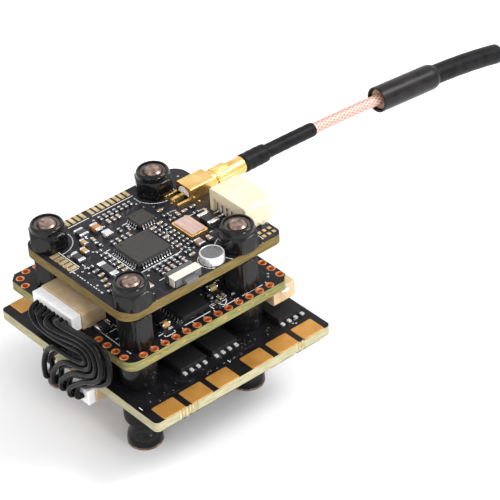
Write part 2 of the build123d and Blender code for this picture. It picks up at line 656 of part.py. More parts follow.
# ---------------------------------------------------------------- eight-wire harness
# The wires leave the upper plug side by side, fold back on themselves in front of the boards and enter the
# lower plug.  They lie in two layers of four, and within a layer each fold nests round the one inside it.
wire_radius = 0.43
wire_routes = [
    [(-5.95, -15.7, 20.02), (-5.91, -17.36, 19.92), (-4.2, -17.92, 18.6), (-1.9, -17.94, 18.2),
     (1.2, -17.96, 18.33), (4.21, -17.97, 18.74), (6.6, -17.99, 19.3), (8, -18, 19.3), (8.6, -18, 18.5),
     (8, -18, 17.6), (5.6, -18, 16.95), (2.8, -17.99, 16.65), (0.3, -17.97, 16.4), (-1.5, -17.96, 15),
     (-2.5, -17.94, 12.9), (-3, -17.92, 11), (-3.1, -17.8, 9.6), (-3.1, -17.7, 8.4), (-3.1, -16.2, 8.38)],
    [(-4.95, -15.7, 20.02), (-5.01, -16.8, 19.82), (-3.3, -16.97, 18.25), (-1.15, -16.99, 17.55),
     (1.95, -17.01, 17.7), (4.95, -17.02, 18.15), (7.35, -17.04, 18.65), (8.75, -17.05, 18.65),
     (9.35, -17.05, 17.85), (8.75, -17.05, 16.95), (6.35, -17.05, 16.3), (3.55, -17.04, 16),
     (1.05, -17.02, 15.75), (-0.75, -17.01, 14.35), (-2.3, -16.99, 12.9), (-2.15, -16.97, 11),
     (-2.1, -17.2, 9.6), (-2.1, -17.3, 8.4), (-2.1, -16.2, 8.38)],
    [(-3.95, -15.7, 20.02), (-3.83, -17.37, 20.03), (-2.23, -18.03, 19.32), (0.21, -18.14, 19.17),
     (3.21, -17.96, 19.52), (5.9, -17.98, 20.2), (8.2, -17.99, 20.6), (9.75, -18, 19.8), (9.6, -18, 17.9),
     (8.3, -18, 16.65), (6, -17.99, 15.95), (3.6, -17.98, 15.4), (1.7, -17.96, 14.2), (0.2, -17.94, 12.5),
     (-0.8, -17.92, 11), (-1.1, -17.8, 9.6), (-1.1, -17.7, 8.4), (-1.1, -16.2, 8.38)],
    [(-2.95, -15.7, 20.02), (-3.04, -16.83, 19.67), (-1.36, -17, 18.81), (0.95, -16.98, 18.55),
     (3.95, -17.01, 18.91), (6.65, -17.03, 19.55), (8.95, -17.04, 19.95), (10.5, -17.05, 19.15),
     (10.35, -17.05, 17.25), (9.05, -17.05, 16), (6.75, -17.04, 15.3), (4.35, -17.03, 14.75),
     (2.45, -17.01, 13.55), (0.4, -16.99, 12.5), (0.05, -16.97, 11), (-0.1, -17.2, 9.6), (-0.1, -17.3, 8.4),
     (-0.1, -16.2, 8.38)],
    [(-1.95, -15.7, 20.02), (-1.82, -17.33, 20.13), (-0.46, -18.31, 20.24), (2.27, -18.07, 20.32),
     (5.01, -17.97, 20.96), (7.81, -17.98, 21.52), (10.2, -17.99, 21.3), (11, -18, 19.2), (10.5, -18, 17),
     (8.6, -17.99, 15.7), (6.2, -17.98, 14.9), (4.3, -17.97, 13.7), (2.6, -17.95, 12.2), (1.3, -17.92, 10.9),
     (0.9, -17.8, 9.6), (0.9, -17.7, 8.4), (0.9, -16.2, 8.38)],
    [(-0.95, -15.7, 20.02), (-1, -16.84, 19.86), (0.46, -17.26, 19.48), (2.98, -17.01, 19.73),
     (5.76, -17.02, 20.31), (8.56, -17.03, 20.91), (10.95, -17.04, 20.65), (11.75, -17.05, 18.55),
     (11.25, -17.05, 16.35), (9.35, -17.04, 15.05), (6.95, -17.03, 14.25), (5.05, -17.02, 13.05),
     (2.8, -17, 12.2), (2.15, -16.97, 10.9), (1.9, -17.2, 9.6), (1.9, -17.3, 8.4), (1.9, -16.2, 8.38)],
    [(0.05, -15.7, 20.02), (0.2, -17.04, 20.54), (1.4, -17.84, 21.44), (3.79, -17.95, 21.62),
     (6.59, -17.97, 22.26), (9.5, -17.98, 22.6), (11.6, -17.99, 21.9), (12.3, -18, 19.5), (11.7, -18, 16.9),
     (9.8, -17.99, 15.2), (7.4, -17.98, 13.9), (5.6, -17.97, 12.5), (4.2, -17.95, 11.3), (3.1, -17.92, 10.2),
     (2.9, -17.8, 9.4), (2.9, -17.7, 8.4), (2.9, -16.2, 8.38)],
    [(1.05, -15.7, 20.02), (1.11, -16.47, 20.24), (2.3, -16.97, 20.99), (4.54, -17, 20.98),
     (7.33, -17.01, 21.66), (10.25, -17.03, 21.95), (12.35, -17.04, 21.25), (13.05, -17.05, 18.85),
     (12.45, -17.05, 16.25), (10.55, -17.04, 14.55), (8.15, -17.03, 13.25), (6.35, -17.02, 11.85),
     (4.4, -17, 11.3), (3.95, -16.97, 10.2), (3.9, -17.2, 9.4), (3.9, -17.3, 8.4), (3.9, -16.2, 8.38)],
]


def arc_radii(points):
    """Radius of the tangent arc at each corner: 0.45 of the shorter run over the tangent of half the turn."""
    radii = []
    for before, corner, after in zip(points, points[1:], points[2:]):
        run_in, run_out = corner - before, after - corner
        half_turn = math.radians(run_in.get_angle(run_out)) / 2
        radii.append(0.45 * min(run_in.length, run_out.length) / math.tan(half_turn))
    return radii


for number, corner_points in enumerate(wire_routes, start=1):
    route = [Vector(*point) for point in corner_points]
    radii = arc_radii(route)
    with BuildPart() as wire:
        with BuildLine() as wire_line:
            FilletPolyline(*route, radius=radii)
        path = wire_line.wire()
        with BuildSketch(across(path)):
            Circle(wire_radius)
        sweep(path=path)
    share = wire.part.volume / (math.pi * wire_radius ** 2 * path.length)
    print(f"harness_wire_{number}: length {path.length:.2f}, smallest radius {min(radii):.2f}, "
          f"volume over section times length {share:.4f}")
    save(wire, f"harness_wire_{number}")

# ---------------------------------------------------------------- boot button, pressed towards the board
boot_at = (-12.2, -5.2)
with BuildPart() as boot_switch_housing:
    with Locations((*boot_at, fc_top)):
        Box(2.6, 2.2, 1.0, align=BOTTOM)
    with Locations((*boot_at, fc_top + 0.15)):
        Cylinder(0.9 + running_gap, 0.6, align=BOTTOM, mode=Mode.SUBTRACT)
        Cylinder(0.7 + running_gap, 1.0, align=BOTTOM, mode=Mode.SUBTRACT)
save(boot_switch_housing, "boot_switch_housing")

with BuildPart() as boot_button:
    with Locations((*boot_at, fc_top + 0.4)):
        Cylinder(0.9, 0.3, align=BOTTOM)
        Cylinder(0.7, 1.0, align=BOTTOM)
    fillet(boot_button.edges().group_by(Axis.Z)[-1], radius=0.15)
save(boot_button, "boot_button")

# ---------------------------------------------------------------- USB socket on the left edge
usb_y, usb_depth, usb_width, usb_height, usb_wall = 1.0, 5.2, 7.5, 2.6, 0.25
usb_open_x = fc_outline[0] - 0.7
usb_plane = Plane(origin=(usb_open_x, usb_y, fc_top + usb_height / 2), x_dir=(0, 1, 0), z_dir=(1, 0, 0))


def usb_outline(inset):
    """The socket's outline, wide above and narrower below, drawn a wall's thickness inside."""
    half_w, half_h, slant = usb_width / 2 - inset, usb_height / 2 - inset, 0.7
    with BuildLine() as outline:
        Polyline((-half_w, half_h), (half_w, half_h), (half_w, -half_h + slant),
                 (half_w - slant, -half_h), (-half_w + slant, -half_h), (-half_w, -half_h + slant),
                 close=True)
    make_face(outline.edges())


with BuildPart() as usb_shell:
    with BuildSketch(usb_plane):
        usb_outline(0)
    extrude(amount=usb_depth)
    with BuildSketch(usb_plane):
        usb_outline(usb_wall)
    extrude(amount=usb_depth - 0.6, mode=Mode.SUBTRACT)
save(usb_shell, "usb_shell")

with BuildPart() as usb_tongue:
    with Locations((usb_open_x + 0.8, usb_y, fc_top + usb_height / 2 + 0.3)):
        Box(usb_depth - 1.4, 4.6, 0.6, align=(Align.MIN, Align.CENTER, Align.CENTER))
save(usb_tongue, "usb_tongue")

# ---------------------------------------------------------------- screws, nuts, spacers and washers
socket_across_flats, socket_depth = 2.0, 0.4


def turned(profile):
    """A piece turned about Z from a closed profile of (radius, height) points."""
    with BuildPart() as piece:
        with BuildSketch(Plane.XZ):
            with BuildLine():
                Polyline(*profile, close=True)
            make_face()
        revolve(axis=Axis.Z)
    return piece.part


def on_screws(piece, level):
    """The same piece on each of the four screws."""
    with Locations(*[(x, y, level) for x, y in corners]):
        add(piece)


with BuildPart() as screws:
    with Locations(*corners):
        Cylinder(head_radius, head_height, align=BOTTOM)
        Cylinder(screw_radius, screw_length, align=BOTTOM)
    chamfer(screws.edges().filter_by(GeomType.CIRCLE).group_by(Axis.Z)[-1], length=0.25)
    with BuildSketch(Plane.XY):
        with Locations(*corners):
            RegularPolygon(radius=socket_across_flats / math.sqrt(3), side_count=6)
    extrude(amount=socket_depth, mode=Mode.SUBTRACT)
save(screws, "screws")

washer = turned([(bore_radius, 0), (2.3, 0), (2.6, 0.4), (2.7, 1.35), (2.6, 2.3),
                 (2.3, washer_height), (bore_radius, washer_height)])
with BuildPart() as domed_washers:
    on_screws(washer, head_height)
save(domed_washers, "domed_washers")

rubber = turned([(bore_radius, 0), (2.35, 0), (2.89, 0.9), (2.93, 3.2), (2.89, rubber_height - 0.2),
                 (2.7, rubber_height), (bore_radius, rubber_height)])
with BuildPart() as rubber_spacers:
    on_screws(rubber, head_height + washer_height)
save(rubber_spacers, "rubber_spacers")

spacer = turned([(clearance_radius - 0.05, 0), (2.8, 0), (2.95, 0.15), (2.95, middle_gap - 0.15),
                 (2.8, middle_gap), (clearance_radius - 0.05, middle_gap)])
with BuildPart() as round_spacers:
    on_screws(spacer, esc_top)
save(round_spacers, "round_spacers")


def hex_prism(across_flats, height, bore):
    """A hexagonal prism with flats facing +X and -X and rounded-off corners at both ends."""
    outer, cut = across_flats / math.sqrt(3), 0.25
    with BuildPart() as prism:
        with BuildSketch(Plane.XY):
            RegularPolygon(radius=outer, side_count=6, rotation=30)
        extrude(amount=height)
        with BuildSketch(Plane.XZ):
            with BuildLine():
                Polyline((0, 0), (across_flats / 2, 0), (outer + 0.1, cut), (outer + 0.1, height - cut),
                         (across_flats / 2, height), (0, height), close=True)
            make_face()
        revolve(axis=Axis.Z, mode=Mode.INTERSECT)
        Cylinder(bore, height, align=BOTTOM, mode=Mode.SUBTRACT)
    return prism.part


standoff_across_flats = 5.0
standoff = hex_prism(standoff_across_flats, upper_gap, clearance_radius - 0.05)
with BuildPart() as hex_standoffs:
    on_screws(standoff, fc_top)
save(hex_standoffs, "hex_standoffs")

# A lock nut: a hexagon with a round collar that is rolled over a nylon ring.
hex_height, collar_radius, ring_radius, ring_low, ring_high = 2.8, 2.58, 2.05, 2.5, 3.7
collar = turned([(bore_radius, 1.0), (collar_radius, 1.0), (collar_radius, 3.5), (collar_radius - 0.15, 3.85),
                 (collar_radius - 0.4, nut_height), (ring_radius, nut_height), (ring_radius, ring_low),
                 (bore_radius, ring_low)])
with BuildPart() as lock_nut:
    add(hex_prism(nut_across_flats, hex_height, bore_radius))
    with Locations((0, 0, ring_low)):
        Cylinder(ring_radius, hex_height - ring_low, align=BOTTOM, mode=Mode.SUBTRACT)
    add(collar)
with BuildPart() as lock_nuts:
    on_screws(lock_nut.part, vtx_top)
save(lock_nuts, "lock_nuts")

nylon = turned([(screw_radius + 0.02, ring_low), (ring_radius, ring_low), (ring_radius, ring_high),
                (screw_radius + 0.02, ring_high - 0.2)])
with BuildPart() as nut_rings:
    on_screws(nylon, vtx_top)
save(nut_rings, "nut_rings")
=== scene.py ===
"""Looks of a three-board flight stack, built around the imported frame.

Each sub-assembly is a class that holds its sizes and builds its own pieces.  Surfaces are worked out as numpy
grids.  Lengths are in metres, and where a name ends in _mm, in millimetres.
"""

import json
import logging
import math
from dataclasses import dataclass, field
from enum import Enum
from typing import Callable, Sequence

import bmesh
import bpy
import numpy as np
from mathutils import Matrix, Vector

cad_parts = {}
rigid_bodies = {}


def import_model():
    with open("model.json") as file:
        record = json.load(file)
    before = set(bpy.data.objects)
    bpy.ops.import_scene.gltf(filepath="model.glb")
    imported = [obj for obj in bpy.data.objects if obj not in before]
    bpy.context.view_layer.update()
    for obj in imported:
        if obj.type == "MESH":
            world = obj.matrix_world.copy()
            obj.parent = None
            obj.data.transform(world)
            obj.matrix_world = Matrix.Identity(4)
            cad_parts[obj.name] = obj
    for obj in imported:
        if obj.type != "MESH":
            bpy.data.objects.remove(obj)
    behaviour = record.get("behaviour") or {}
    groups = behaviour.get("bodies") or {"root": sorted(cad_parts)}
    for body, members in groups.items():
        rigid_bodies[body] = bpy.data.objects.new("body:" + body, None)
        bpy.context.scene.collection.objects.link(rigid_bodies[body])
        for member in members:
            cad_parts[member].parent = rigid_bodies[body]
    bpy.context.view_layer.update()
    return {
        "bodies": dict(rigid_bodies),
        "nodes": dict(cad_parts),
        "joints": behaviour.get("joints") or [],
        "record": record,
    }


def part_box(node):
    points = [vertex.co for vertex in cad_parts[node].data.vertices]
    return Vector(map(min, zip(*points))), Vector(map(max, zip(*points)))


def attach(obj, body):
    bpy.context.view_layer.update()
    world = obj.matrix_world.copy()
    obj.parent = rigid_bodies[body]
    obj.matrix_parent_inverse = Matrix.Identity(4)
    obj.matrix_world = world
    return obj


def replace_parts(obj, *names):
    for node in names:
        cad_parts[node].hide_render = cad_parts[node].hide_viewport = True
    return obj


LOG = logging.getLogger("stack")
MM = 0.001
Colour = tuple[float, float, float]
Array = np.ndarray

# The wires' routes, from the upper plug to the lower one.
ROUTES = [
    [(-0.00595, -0.0157, 0.02002), (-0.00591, -0.01736, 0.01992), (-0.0042, -0.01792, 0.0186),
     (-0.0019, -0.01794, 0.0182), (0.0012, -0.01796, 0.01833), (0.00421, -0.01797, 0.01874),
     (0.0066, -0.01799, 0.0193), (0.008, -0.018, 0.0193), (0.0086, -0.018, 0.0185), (0.008, -0.018, 0.0176),
     (0.0056, -0.018, 0.01695), (0.0028, -0.01799, 0.01665), (0.0003, -0.01797, 0.0164),
     (-0.0015, -0.01796, 0.015), (-0.0025, -0.01794, 0.0129), (-0.003, -0.01792, 0.011),
     (-0.0031, -0.0178, 0.0096), (-0.0031, -0.0177, 0.0084), (-0.0031, -0.0162, 0.00838)],
    [(-0.00495, -0.0157, 0.02002), (-0.00501, -0.0168, 0.01982), (-0.0033, -0.01697, 0.01825),
     (-0.00115, -0.01699, 0.01755), (0.00195, -0.01701, 0.0177), (0.00495, -0.01702, 0.01815),
     (0.00735, -0.01704, 0.01865), (0.00875, -0.01705, 0.01865), (0.00935, -0.01705, 0.01785),
     (0.00875, -0.01705, 0.01695), (0.00635, -0.01705, 0.0163), (0.00355, -0.01704, 0.016),
     (0.00105, -0.01702, 0.01575), (-0.00075, -0.01701, 0.01435), (-0.0023, -0.01699, 0.0129),
     (-0.00215, -0.01697, 0.011), (-0.0021, -0.0172, 0.0096), (-0.0021, -0.0173, 0.0084),
     (-0.0021, -0.0162, 0.00838)],
    [(-0.00395, -0.0157, 0.02002), (-0.00383, -0.01737, 0.02003), (-0.00223, -0.01803, 0.01932),
     (0.00021, -0.01814, 0.01917), (0.00321, -0.01796, 0.01952), (0.0059, -0.01798, 0.0202),
     (0.0082, -0.01799, 0.0206), (0.00975, -0.018, 0.0198), (0.0096, -0.018, 0.0179),
     (0.0083, -0.018, 0.01665), (0.006, -0.01799, 0.01595), (0.0036, -0.01798, 0.0154),
     (0.0017, -0.01796, 0.0142), (0.0002, -0.01794, 0.0125), (-0.0008, -0.01792, 0.011),
     (-0.0011, -0.0178, 0.0096), (-0.0011, -0.0177, 0.0084), (-0.0011, -0.0162, 0.00838)],
    [(-0.00295, -0.0157, 0.02002), (-0.00304, -0.01683, 0.01967), (-0.00136, -0.017, 0.01881),
     (0.00095, -0.01698, 0.01855), (0.00395, -0.01701, 0.01891), (0.00665, -0.01703, 0.01955),
     (0.00895, -0.01704, 0.01995), (0.0105, -0.01705, 0.01915), (0.01035, -0.01705, 0.01725),
     (0.00905, -0.01705, 0.016), (0.00675, -0.01704, 0.0153), (0.00435, -0.01703, 0.01475),
     (0.00245, -0.01701, 0.01355), (0.0004, -0.01699, 0.0125), (0.00005, -0.01697, 0.011),
     (-0.0001, -0.0172, 0.0096), (-0.0001, -0.0173, 0.0084), (-0.0001, -0.0162, 0.00838)],
    [(-0.00195, -0.0157, 0.02002), (-0.00182, -0.01733, 0.02013), (-0.00046, -0.01831, 0.02024),
     (0.00227, -0.01807, 0.02032), (0.00501, -0.01797, 0.02096), (0.00781, -0.01798, 0.02152),
     (0.0102, -0.01799, 0.0213), (0.011, -0.018, 0.0192), (0.0105, -0.018, 0.017), (0.0086, -0.01799, 0.0157),
     (0.0062, -0.01798, 0.0149), (0.0043, -0.01797, 0.0137), (0.0026, -0.01795, 0.0122),
     (0.0013, -0.01792, 0.0109), (0.0009, -0.0178, 0.0096), (0.0009, -0.0177, 0.0084),
     (0.0009, -0.0162, 0.00838)],
    [(-0.00095, -0.0157, 0.02002), (-0.001, -0.01684, 0.01986), (0.00046, -0.01726, 0.01948),
     (0.00298, -0.01701, 0.01973), (0.00576, -0.01702, 0.02031), (0.00856, -0.01703, 0.02091),
     (0.01095, -0.01704, 0.02065), (0.01175, -0.01705, 0.01855), (0.01125, -0.01705, 0.01635),
     (0.00935, -0.01704, 0.01505), (0.00695, -0.01703, 0.01425), (0.00505, -0.01702, 0.01305),
     (0.0028, -0.017, 0.0122), (0.00215, -0.01697, 0.0109), (0.0019, -0.0172, 0.0096),
     (0.0019, -0.0173, 0.0084), (0.0019, -0.0162, 0.00838)],
    [(0.00005, -0.0157, 0.02002), (0.0002, -0.01704, 0.02054), (0.0014, -0.01784, 0.02144),
     (0.00379, -0.01795, 0.02162), (0.00659, -0.01797, 0.02226), (0.0095, -0.01798, 0.0226),
     (0.0116, -0.01799, 0.0219), (0.0123, -0.018, 0.0195), (0.0117, -0.018, 0.0169),
     (0.0098, -0.01799, 0.0152), (0.0074, -0.01798, 0.0139), (0.0056, -0.01797, 0.0125),
     (0.0042, -0.01795, 0.0113), (0.0031, -0.01792, 0.0102), (0.0029, -0.0178, 0.0094),
     (0.0029, -0.0177, 0.0084), (0.0029, -0.0162, 0.00838)],
    [(0.00105, -0.0157, 0.02002), (0.00111, -0.01647, 0.02024), (0.0023, -0.01697, 0.02099),
     (0.00454, -0.017, 0.02098), (0.00733, -0.01701, 0.02166), (0.01025, -0.01703, 0.02195),
     (0.01235, -0.01704, 0.02125), (0.01305, -0.01705, 0.01885), (0.01245, -0.01705, 0.01625),
     (0.01055, -0.01704, 0.01455), (0.00815, -0.01703, 0.01325), (0.00635, -0.01702, 0.01185),
     (0.0044, -0.017, 0.0113), (0.00395, -0.01697, 0.0102), (0.0039, -0.0172, 0.0094),
     (0.0039, -0.0173, 0.0084), (0.0039, -0.0162, 0.00838)],
]
WIRE_LENGTHS = (0.0360, 0.03475, 0.03409, 0.03277, 0.03308, 0.03156, 0.03237, 0.03066)


# ------------------------------------------------------------------------------------------ finishes
class Grain(Enum):
    """The pattern that breaks up a finish."""

    FINE = "fine"          # moulded plastic or paint
    SPECKLE = "speckle"    # epoxy with filler
    BRUSHED = "brushed"    # long scratches along X
    CLOUD = "cloud"        # slow patches, as on plating and rubber
    BRAID = "braid"        # crossed strands, on the piece's own UV map


@dataclass(frozen=True)
class Finish:
    """One surface finish: two colours mixed by a grain, with gloss and a bump from the same grain."""

    name: str
    low: Colour
    high: Colour
    roughness: float
    metallic: float = 0.0
    grain: Grain = Grain.FINE
    scale: float = 3000.0
    bump: float = 0.15
    depth: float = 0.00003
    rough_spread: float = 0.1
    coat: float = 0.0
    transmission: float = 0.0
    specular: float = 0.5
    tint: str = ""
    contrast: tuple[float, float] = (0.3, 0.7)

    def material(self) -> bpy.types.Material:
        """Returns the node material of this finish, made once."""
        title = "finish_" + self.name
        found = bpy.data.materials.get(title)
        if found:
            return found
        made = bpy.data.materials.new(title)
        made.use_nodes = True
        tree = made.node_tree
        shader = tree.nodes["Principled BSDF"]
        shader.inputs["Metallic"].default_value = self.metallic
        shader.inputs["Coat Weight"].default_value = self.coat
        shader.inputs["Coat Roughness"].default_value = 0.12
        shader.inputs["Transmission Weight"].default_value = self.transmission
        shader.inputs["Specular IOR Level"].default_value = self.specular
        value = self._pattern(tree)
        ramp = tree.nodes.new("ShaderNodeMapRange")
        ramp.inputs["From Min"].default_value, ramp.inputs["From Max"].default_value = self.contrast
        tree.links.new(value, ramp.inputs["Value"])
        colour = mix_colour(tree, ramp.outputs[0], self.low, self.high)
        if self.tint:
            colour = tinted(tree, colour, self.tint)
        tree.links.new(colour, shader.inputs["Base Color"])
        rough = tree.nodes.new("ShaderNodeMapRange")
        rough.inputs["To Min"].default_value = max(0.02, self.roughness - self.rough_spread / 2)
        rough.inputs["To Max"].default_value = min(1.0, self.roughness + self.rough_spread / 2)
        tree.links.new(value, rough.inputs["Value"])
        tree.links.new(rough.outputs[0], shader.inputs["Roughness"])
        bump = tree.nodes.new("ShaderNodeBump")
        bump.inputs["Strength"].default_value = self.bump
        bump.inputs["Distance"].default_value = self.depth
        tree.links.new(value, bump.inputs["Height"])
        tree.links.new(bump.outputs[0], shader.inputs["Normal"])
        return made

    def _pattern(self, tree: bpy.types.NodeTree) -> bpy.types.NodeSocket:
        """Adds the grain's texture.

        Args:
            tree: the material's nodes.

        Returns:
            The socket with the grain's value, 0 to 1.
        """
        where = tree.nodes.new("ShaderNodeTexCoord")
        if self.grain is Grain.BRAID:
            return self._braid(tree, where.outputs["UV"])
        stretch = tree.nodes.new("ShaderNodeMapping")
        tree.links.new(where.outputs["Object"], stretch.inputs["Vector"])
        if self.grain is Grain.BRUSHED:
            stretch.inputs["Scale"].default_value = (0.04, 1.0, 1.0)
        if self.grain is Grain.SPECKLE:
            cells = tree.nodes.new("ShaderNodeTexVoronoi")
            cells.inputs["Scale"].default_value = self.scale
            tree.links.new(stretch.outputs[0], cells.inputs["Vector"])
            return cells.outputs["Distance"]
        noise = tree.nodes.new("ShaderNodeTexNoise")
        noise.inputs["Scale"].default_value = self.scale
        noise.inputs["Detail"].default_value = 2.0 if self.grain is Grain.CLOUD else 5.0
        noise.inputs["Roughness"].default_value = 0.45 if self.grain is Grain.CLOUD else 0.62
        tree.links.new(stretch.outputs[0], noise.inputs["Vector"])
        return noise.outputs["Fac"]

    def _braid(self, tree: bpy.types.NodeTree, where: bpy.types.NodeSocket) -> bpy.types.NodeSocket:
        """Two sets of strands that cross: the larger of two slanted waves.

        Args:
            tree: the material's nodes.
            where: the UV socket, with U round the piece and V along it in metres.

        Returns:
            The height of the strands, 0 to 1.
        """
        split = tree.nodes.new("ShaderNodeSeparateXYZ")
        tree.links.new(where, split.inputs[0])
        around = maths(tree, "MULTIPLY", split.outputs["X"], 5 * 2 * math.pi)
        along = maths(tree, "MULTIPLY", split.outputs["Y"], self.scale)
        one = maths(tree, "ABSOLUTE", maths(tree, "SINE", maths(tree, "ADD", around, along)))
        other = maths(tree, "ABSOLUTE", maths(tree, "SINE", maths(tree, "SUBTRACT", around, along)))
        return maths(tree, "MAXIMUM", one, other)


def maths(tree: bpy.types.NodeTree, kind: str, first: object, second: object = None,
          third: object = None) -> bpy.types.NodeSocket:
    """Adds a Math node.

    Args:
        tree: the material's nodes.
        kind: the operation's name.
        first: a socket or a number.
        second: a socket or a number, or None.
        third: a socket or a number, or None.

    Returns:
        The node's result.
    """
    node = tree.nodes.new("ShaderNodeMath")
    node.operation = kind
    for place, given in enumerate((first, second, third)):
        if given is None:
            continue
        if isinstance(given, (int, float)):
            node.inputs[place].default_value = given
        else:
            tree.links.new(given, node.inputs[place])
    return node.outputs[0]


def mix_colour(tree: bpy.types.NodeTree, share: bpy.types.NodeSocket, low: object,
               high: object) -> bpy.types.NodeSocket:
    """Mixes two colours, each a tuple or a socket, by a share.

    Args:
        tree: the material's nodes.
        share: 0 gives low and 1 gives high.
        low: the first colour.
        high: the second colour.

    Returns:
        The mixed colour.
    """
    node = tree.nodes.new("ShaderNodeMix")
    node.data_type = "RGBA"
    tree.links.new(share, node.inputs["Factor"])
    for socket, given in ((node.inputs[6], low), (node.inputs[7], high)):
        if isinstance(given, tuple):
            socket.default_value = (*given, 1.0)
        else:
            tree.links.new(given, socket)
    return node.outputs[2]


def tinted(tree: bpy.types.NodeTree, colour: bpy.types.NodeSocket, layer: str) -> bpy.types.NodeSocket:
    """Multiplies a colour by the piece's own colour attribute.

    Args:
        tree: the material's nodes.
        colour: the colour to change.
        layer: the attribute's name.

    Returns:
        The product.
    """
    read = tree.nodes.new("ShaderNodeAttribute")
    read.attribute_name = layer
    node = tree.nodes.new("ShaderNodeMix")
    node.data_type = "RGBA"
    node.blend_type = "MULTIPLY"
    node.inputs["Factor"].default_value = 1.0
    tree.links.new(colour, node.inputs[6])
    tree.links.new(read.outputs["Color"], node.inputs[7])
    return node.outputs[2]


@dataclass(frozen=True)
class BoardFinish:
    """A circuit board: solder mask over tracks on the faces and pressed glass cloth on the cut edges."""

    name: str
    mask: Colour
    track: Colour
    edge: Colour
    edge_dark: Colour
    fleck: Colour
    level: float

    def material(self) -> bpy.types.Material:
        """Returns the board's node material: the normal's Z tells its faces from its edges."""
        made = bpy.data.materials.new(self.name)
        made.use_nodes = True
        tree = made.node_tree
        shader = tree.nodes["Principled BSDF"]
        where = tree.nodes.new("ShaderNodeTexCoord")
        normal = tree.nodes.new("ShaderNodeSeparateXYZ")
        tree.links.new(where.outputs["Normal"], normal.inputs[0])
        flat = maths(tree, "GREATER_THAN", maths(tree, "ABSOLUTE", normal.outputs["Z"]), 0.6)
        face, relief = self._face(tree, where.outputs["Object"])
        edge = self._edge(tree, where.outputs["Object"])
        tree.links.new(mix_colour(tree, flat, edge, face), shader.inputs["Base Color"])
        tree.links.new(maths(tree, "MULTIPLY_ADD", flat, -0.40, 0.72), shader.inputs["Roughness"])
        shader.inputs["Specular IOR Level"].default_value = 0.16
        bump = tree.nodes.new("ShaderNodeBump")
        bump.inputs["Strength"].default_value = 0.35
        bump.inputs["Distance"].default_value = 0.00003
        tree.links.new(relief, bump.inputs["Height"])
        tree.links.new(bump.outputs[0], shader.inputs["Normal"])
        return made

    def _face(self, tree: bpy.types.NodeTree,
              where: bpy.types.NodeSocket) -> tuple[bpy.types.NodeSocket, bpy.types.NodeSocket]:
        """Copper areas that show through the mask as cells with square outlines.

        Args:
            tree: the material's nodes.
            where: Object coordinates.

        Returns:
            The face's colour and its relief.
        """
        cells = tree.nodes.new("ShaderNodeTexVoronoi")
        cells.distance = "CHEBYCHEV"
        cells.feature = "F1"
        cells.inputs["Scale"].default_value = 420.0
        tree.links.new(where, cells.inputs["Vector"])
        noise = tree.nodes.new("ShaderNodeTexNoise")
        noise.inputs["Scale"].default_value = 2600.0
        tree.links.new(where, noise.inputs["Vector"])
        copper = maths(tree, "GREATER_THAN", cells.outputs["Distance"], 0.42)
        share = maths(tree, "MULTIPLY_ADD", noise.outputs["Fac"], 0.35, maths(tree, "MULTIPLY", copper, 0.6))
        relief = maths(tree, "MULTIPLY_ADD", noise.outputs["Fac"], 0.2, copper)
        return mix_colour(tree, share, self.mask, self.track), relief

    def _edge(self, tree: bpy.types.NodeTree, where: bpy.types.NodeSocket) -> bpy.types.NodeSocket:
        """Thin layers along Z with blotches, and a few flecks of cut copper.

        Args:
            tree: the material's nodes.
            where: Object coordinates.

        Returns:
            The edge's colour.
        """
        layers = tree.nodes.new("ShaderNodeTexNoise")
        layers.inputs["Scale"].default_value = 900.0
        squeeze = tree.nodes.new("ShaderNodeMapping")
        squeeze.inputs["Scale"].default_value = (0.5, 0.5, 5.0)
        tree.links.new(where, squeeze.inputs["Vector"])
        tree.links.new(squeeze.outputs[0], layers.inputs["Vector"])
        blotch = tree.nodes.new("ShaderNodeMapRange")
        blotch.inputs["From Min"].default_value, blotch.inputs["From Max"].default_value = 0.35, 0.65
        tree.links.new(layers.outputs["Fac"], blotch.inputs["Value"])
        resin = mix_colour(tree, blotch.outputs[0], self.edge_dark, self.edge)
        height = tree.nodes.new("ShaderNodeSeparateXYZ")
        tree.links.new(where, height.inputs[0])
        middle = maths(tree, "ABSOLUTE", maths(tree, "SUBTRACT", height.outputs["Z"], self.level))
        core = maths(tree, "LESS_THAN", middle, 0.00022)
        spots = tree.nodes.new("ShaderNodeTexNoise")
        spots.inputs["Scale"].default_value = 1500.0
        tree.links.new(where, spots.inputs["Vector"])
        copper = maths(tree, "MULTIPLY", core, maths(tree, "GREATER_THAN", spots.outputs["Fac"], 0.6))
        return mix_colour(tree, copper, resin, self.fleck)


BOARD_EDGE_LEVELS = {"esc": 10.7 * MM, "fc": 17.7 * MM, "vtx": 24.8 * MM}
ESC_BOARD = BoardFinish("controller_board", (0.006, 0.006, 0.007), (0.011, 0.011, 0.013), (0.50, 0.47, 0.31),
                        (0.34, 0.32, 0.18), (0.48, 0.40, 0.22), BOARD_EDGE_LEVELS["esc"])
FC_BOARD = BoardFinish("flight_board", (0.006, 0.006, 0.008), (0.016, 0.016, 0.020), (0.30, 0.28, 0.12),
                       (0.17, 0.17, 0.06), (0.62, 0.24, 0.06), BOARD_EDGE_LEVELS["fc"])
VTX_BOARD = BoardFinish("transmitter_board", (0.009, 0.009, 0.011), (0.024, 0.024, 0.029),
                        (0.21, 0.155, 0.055), (0.13, 0.09, 0.028), (0.19, 0.13, 0.045),
                        BOARD_EDGE_LEVELS["vtx"])

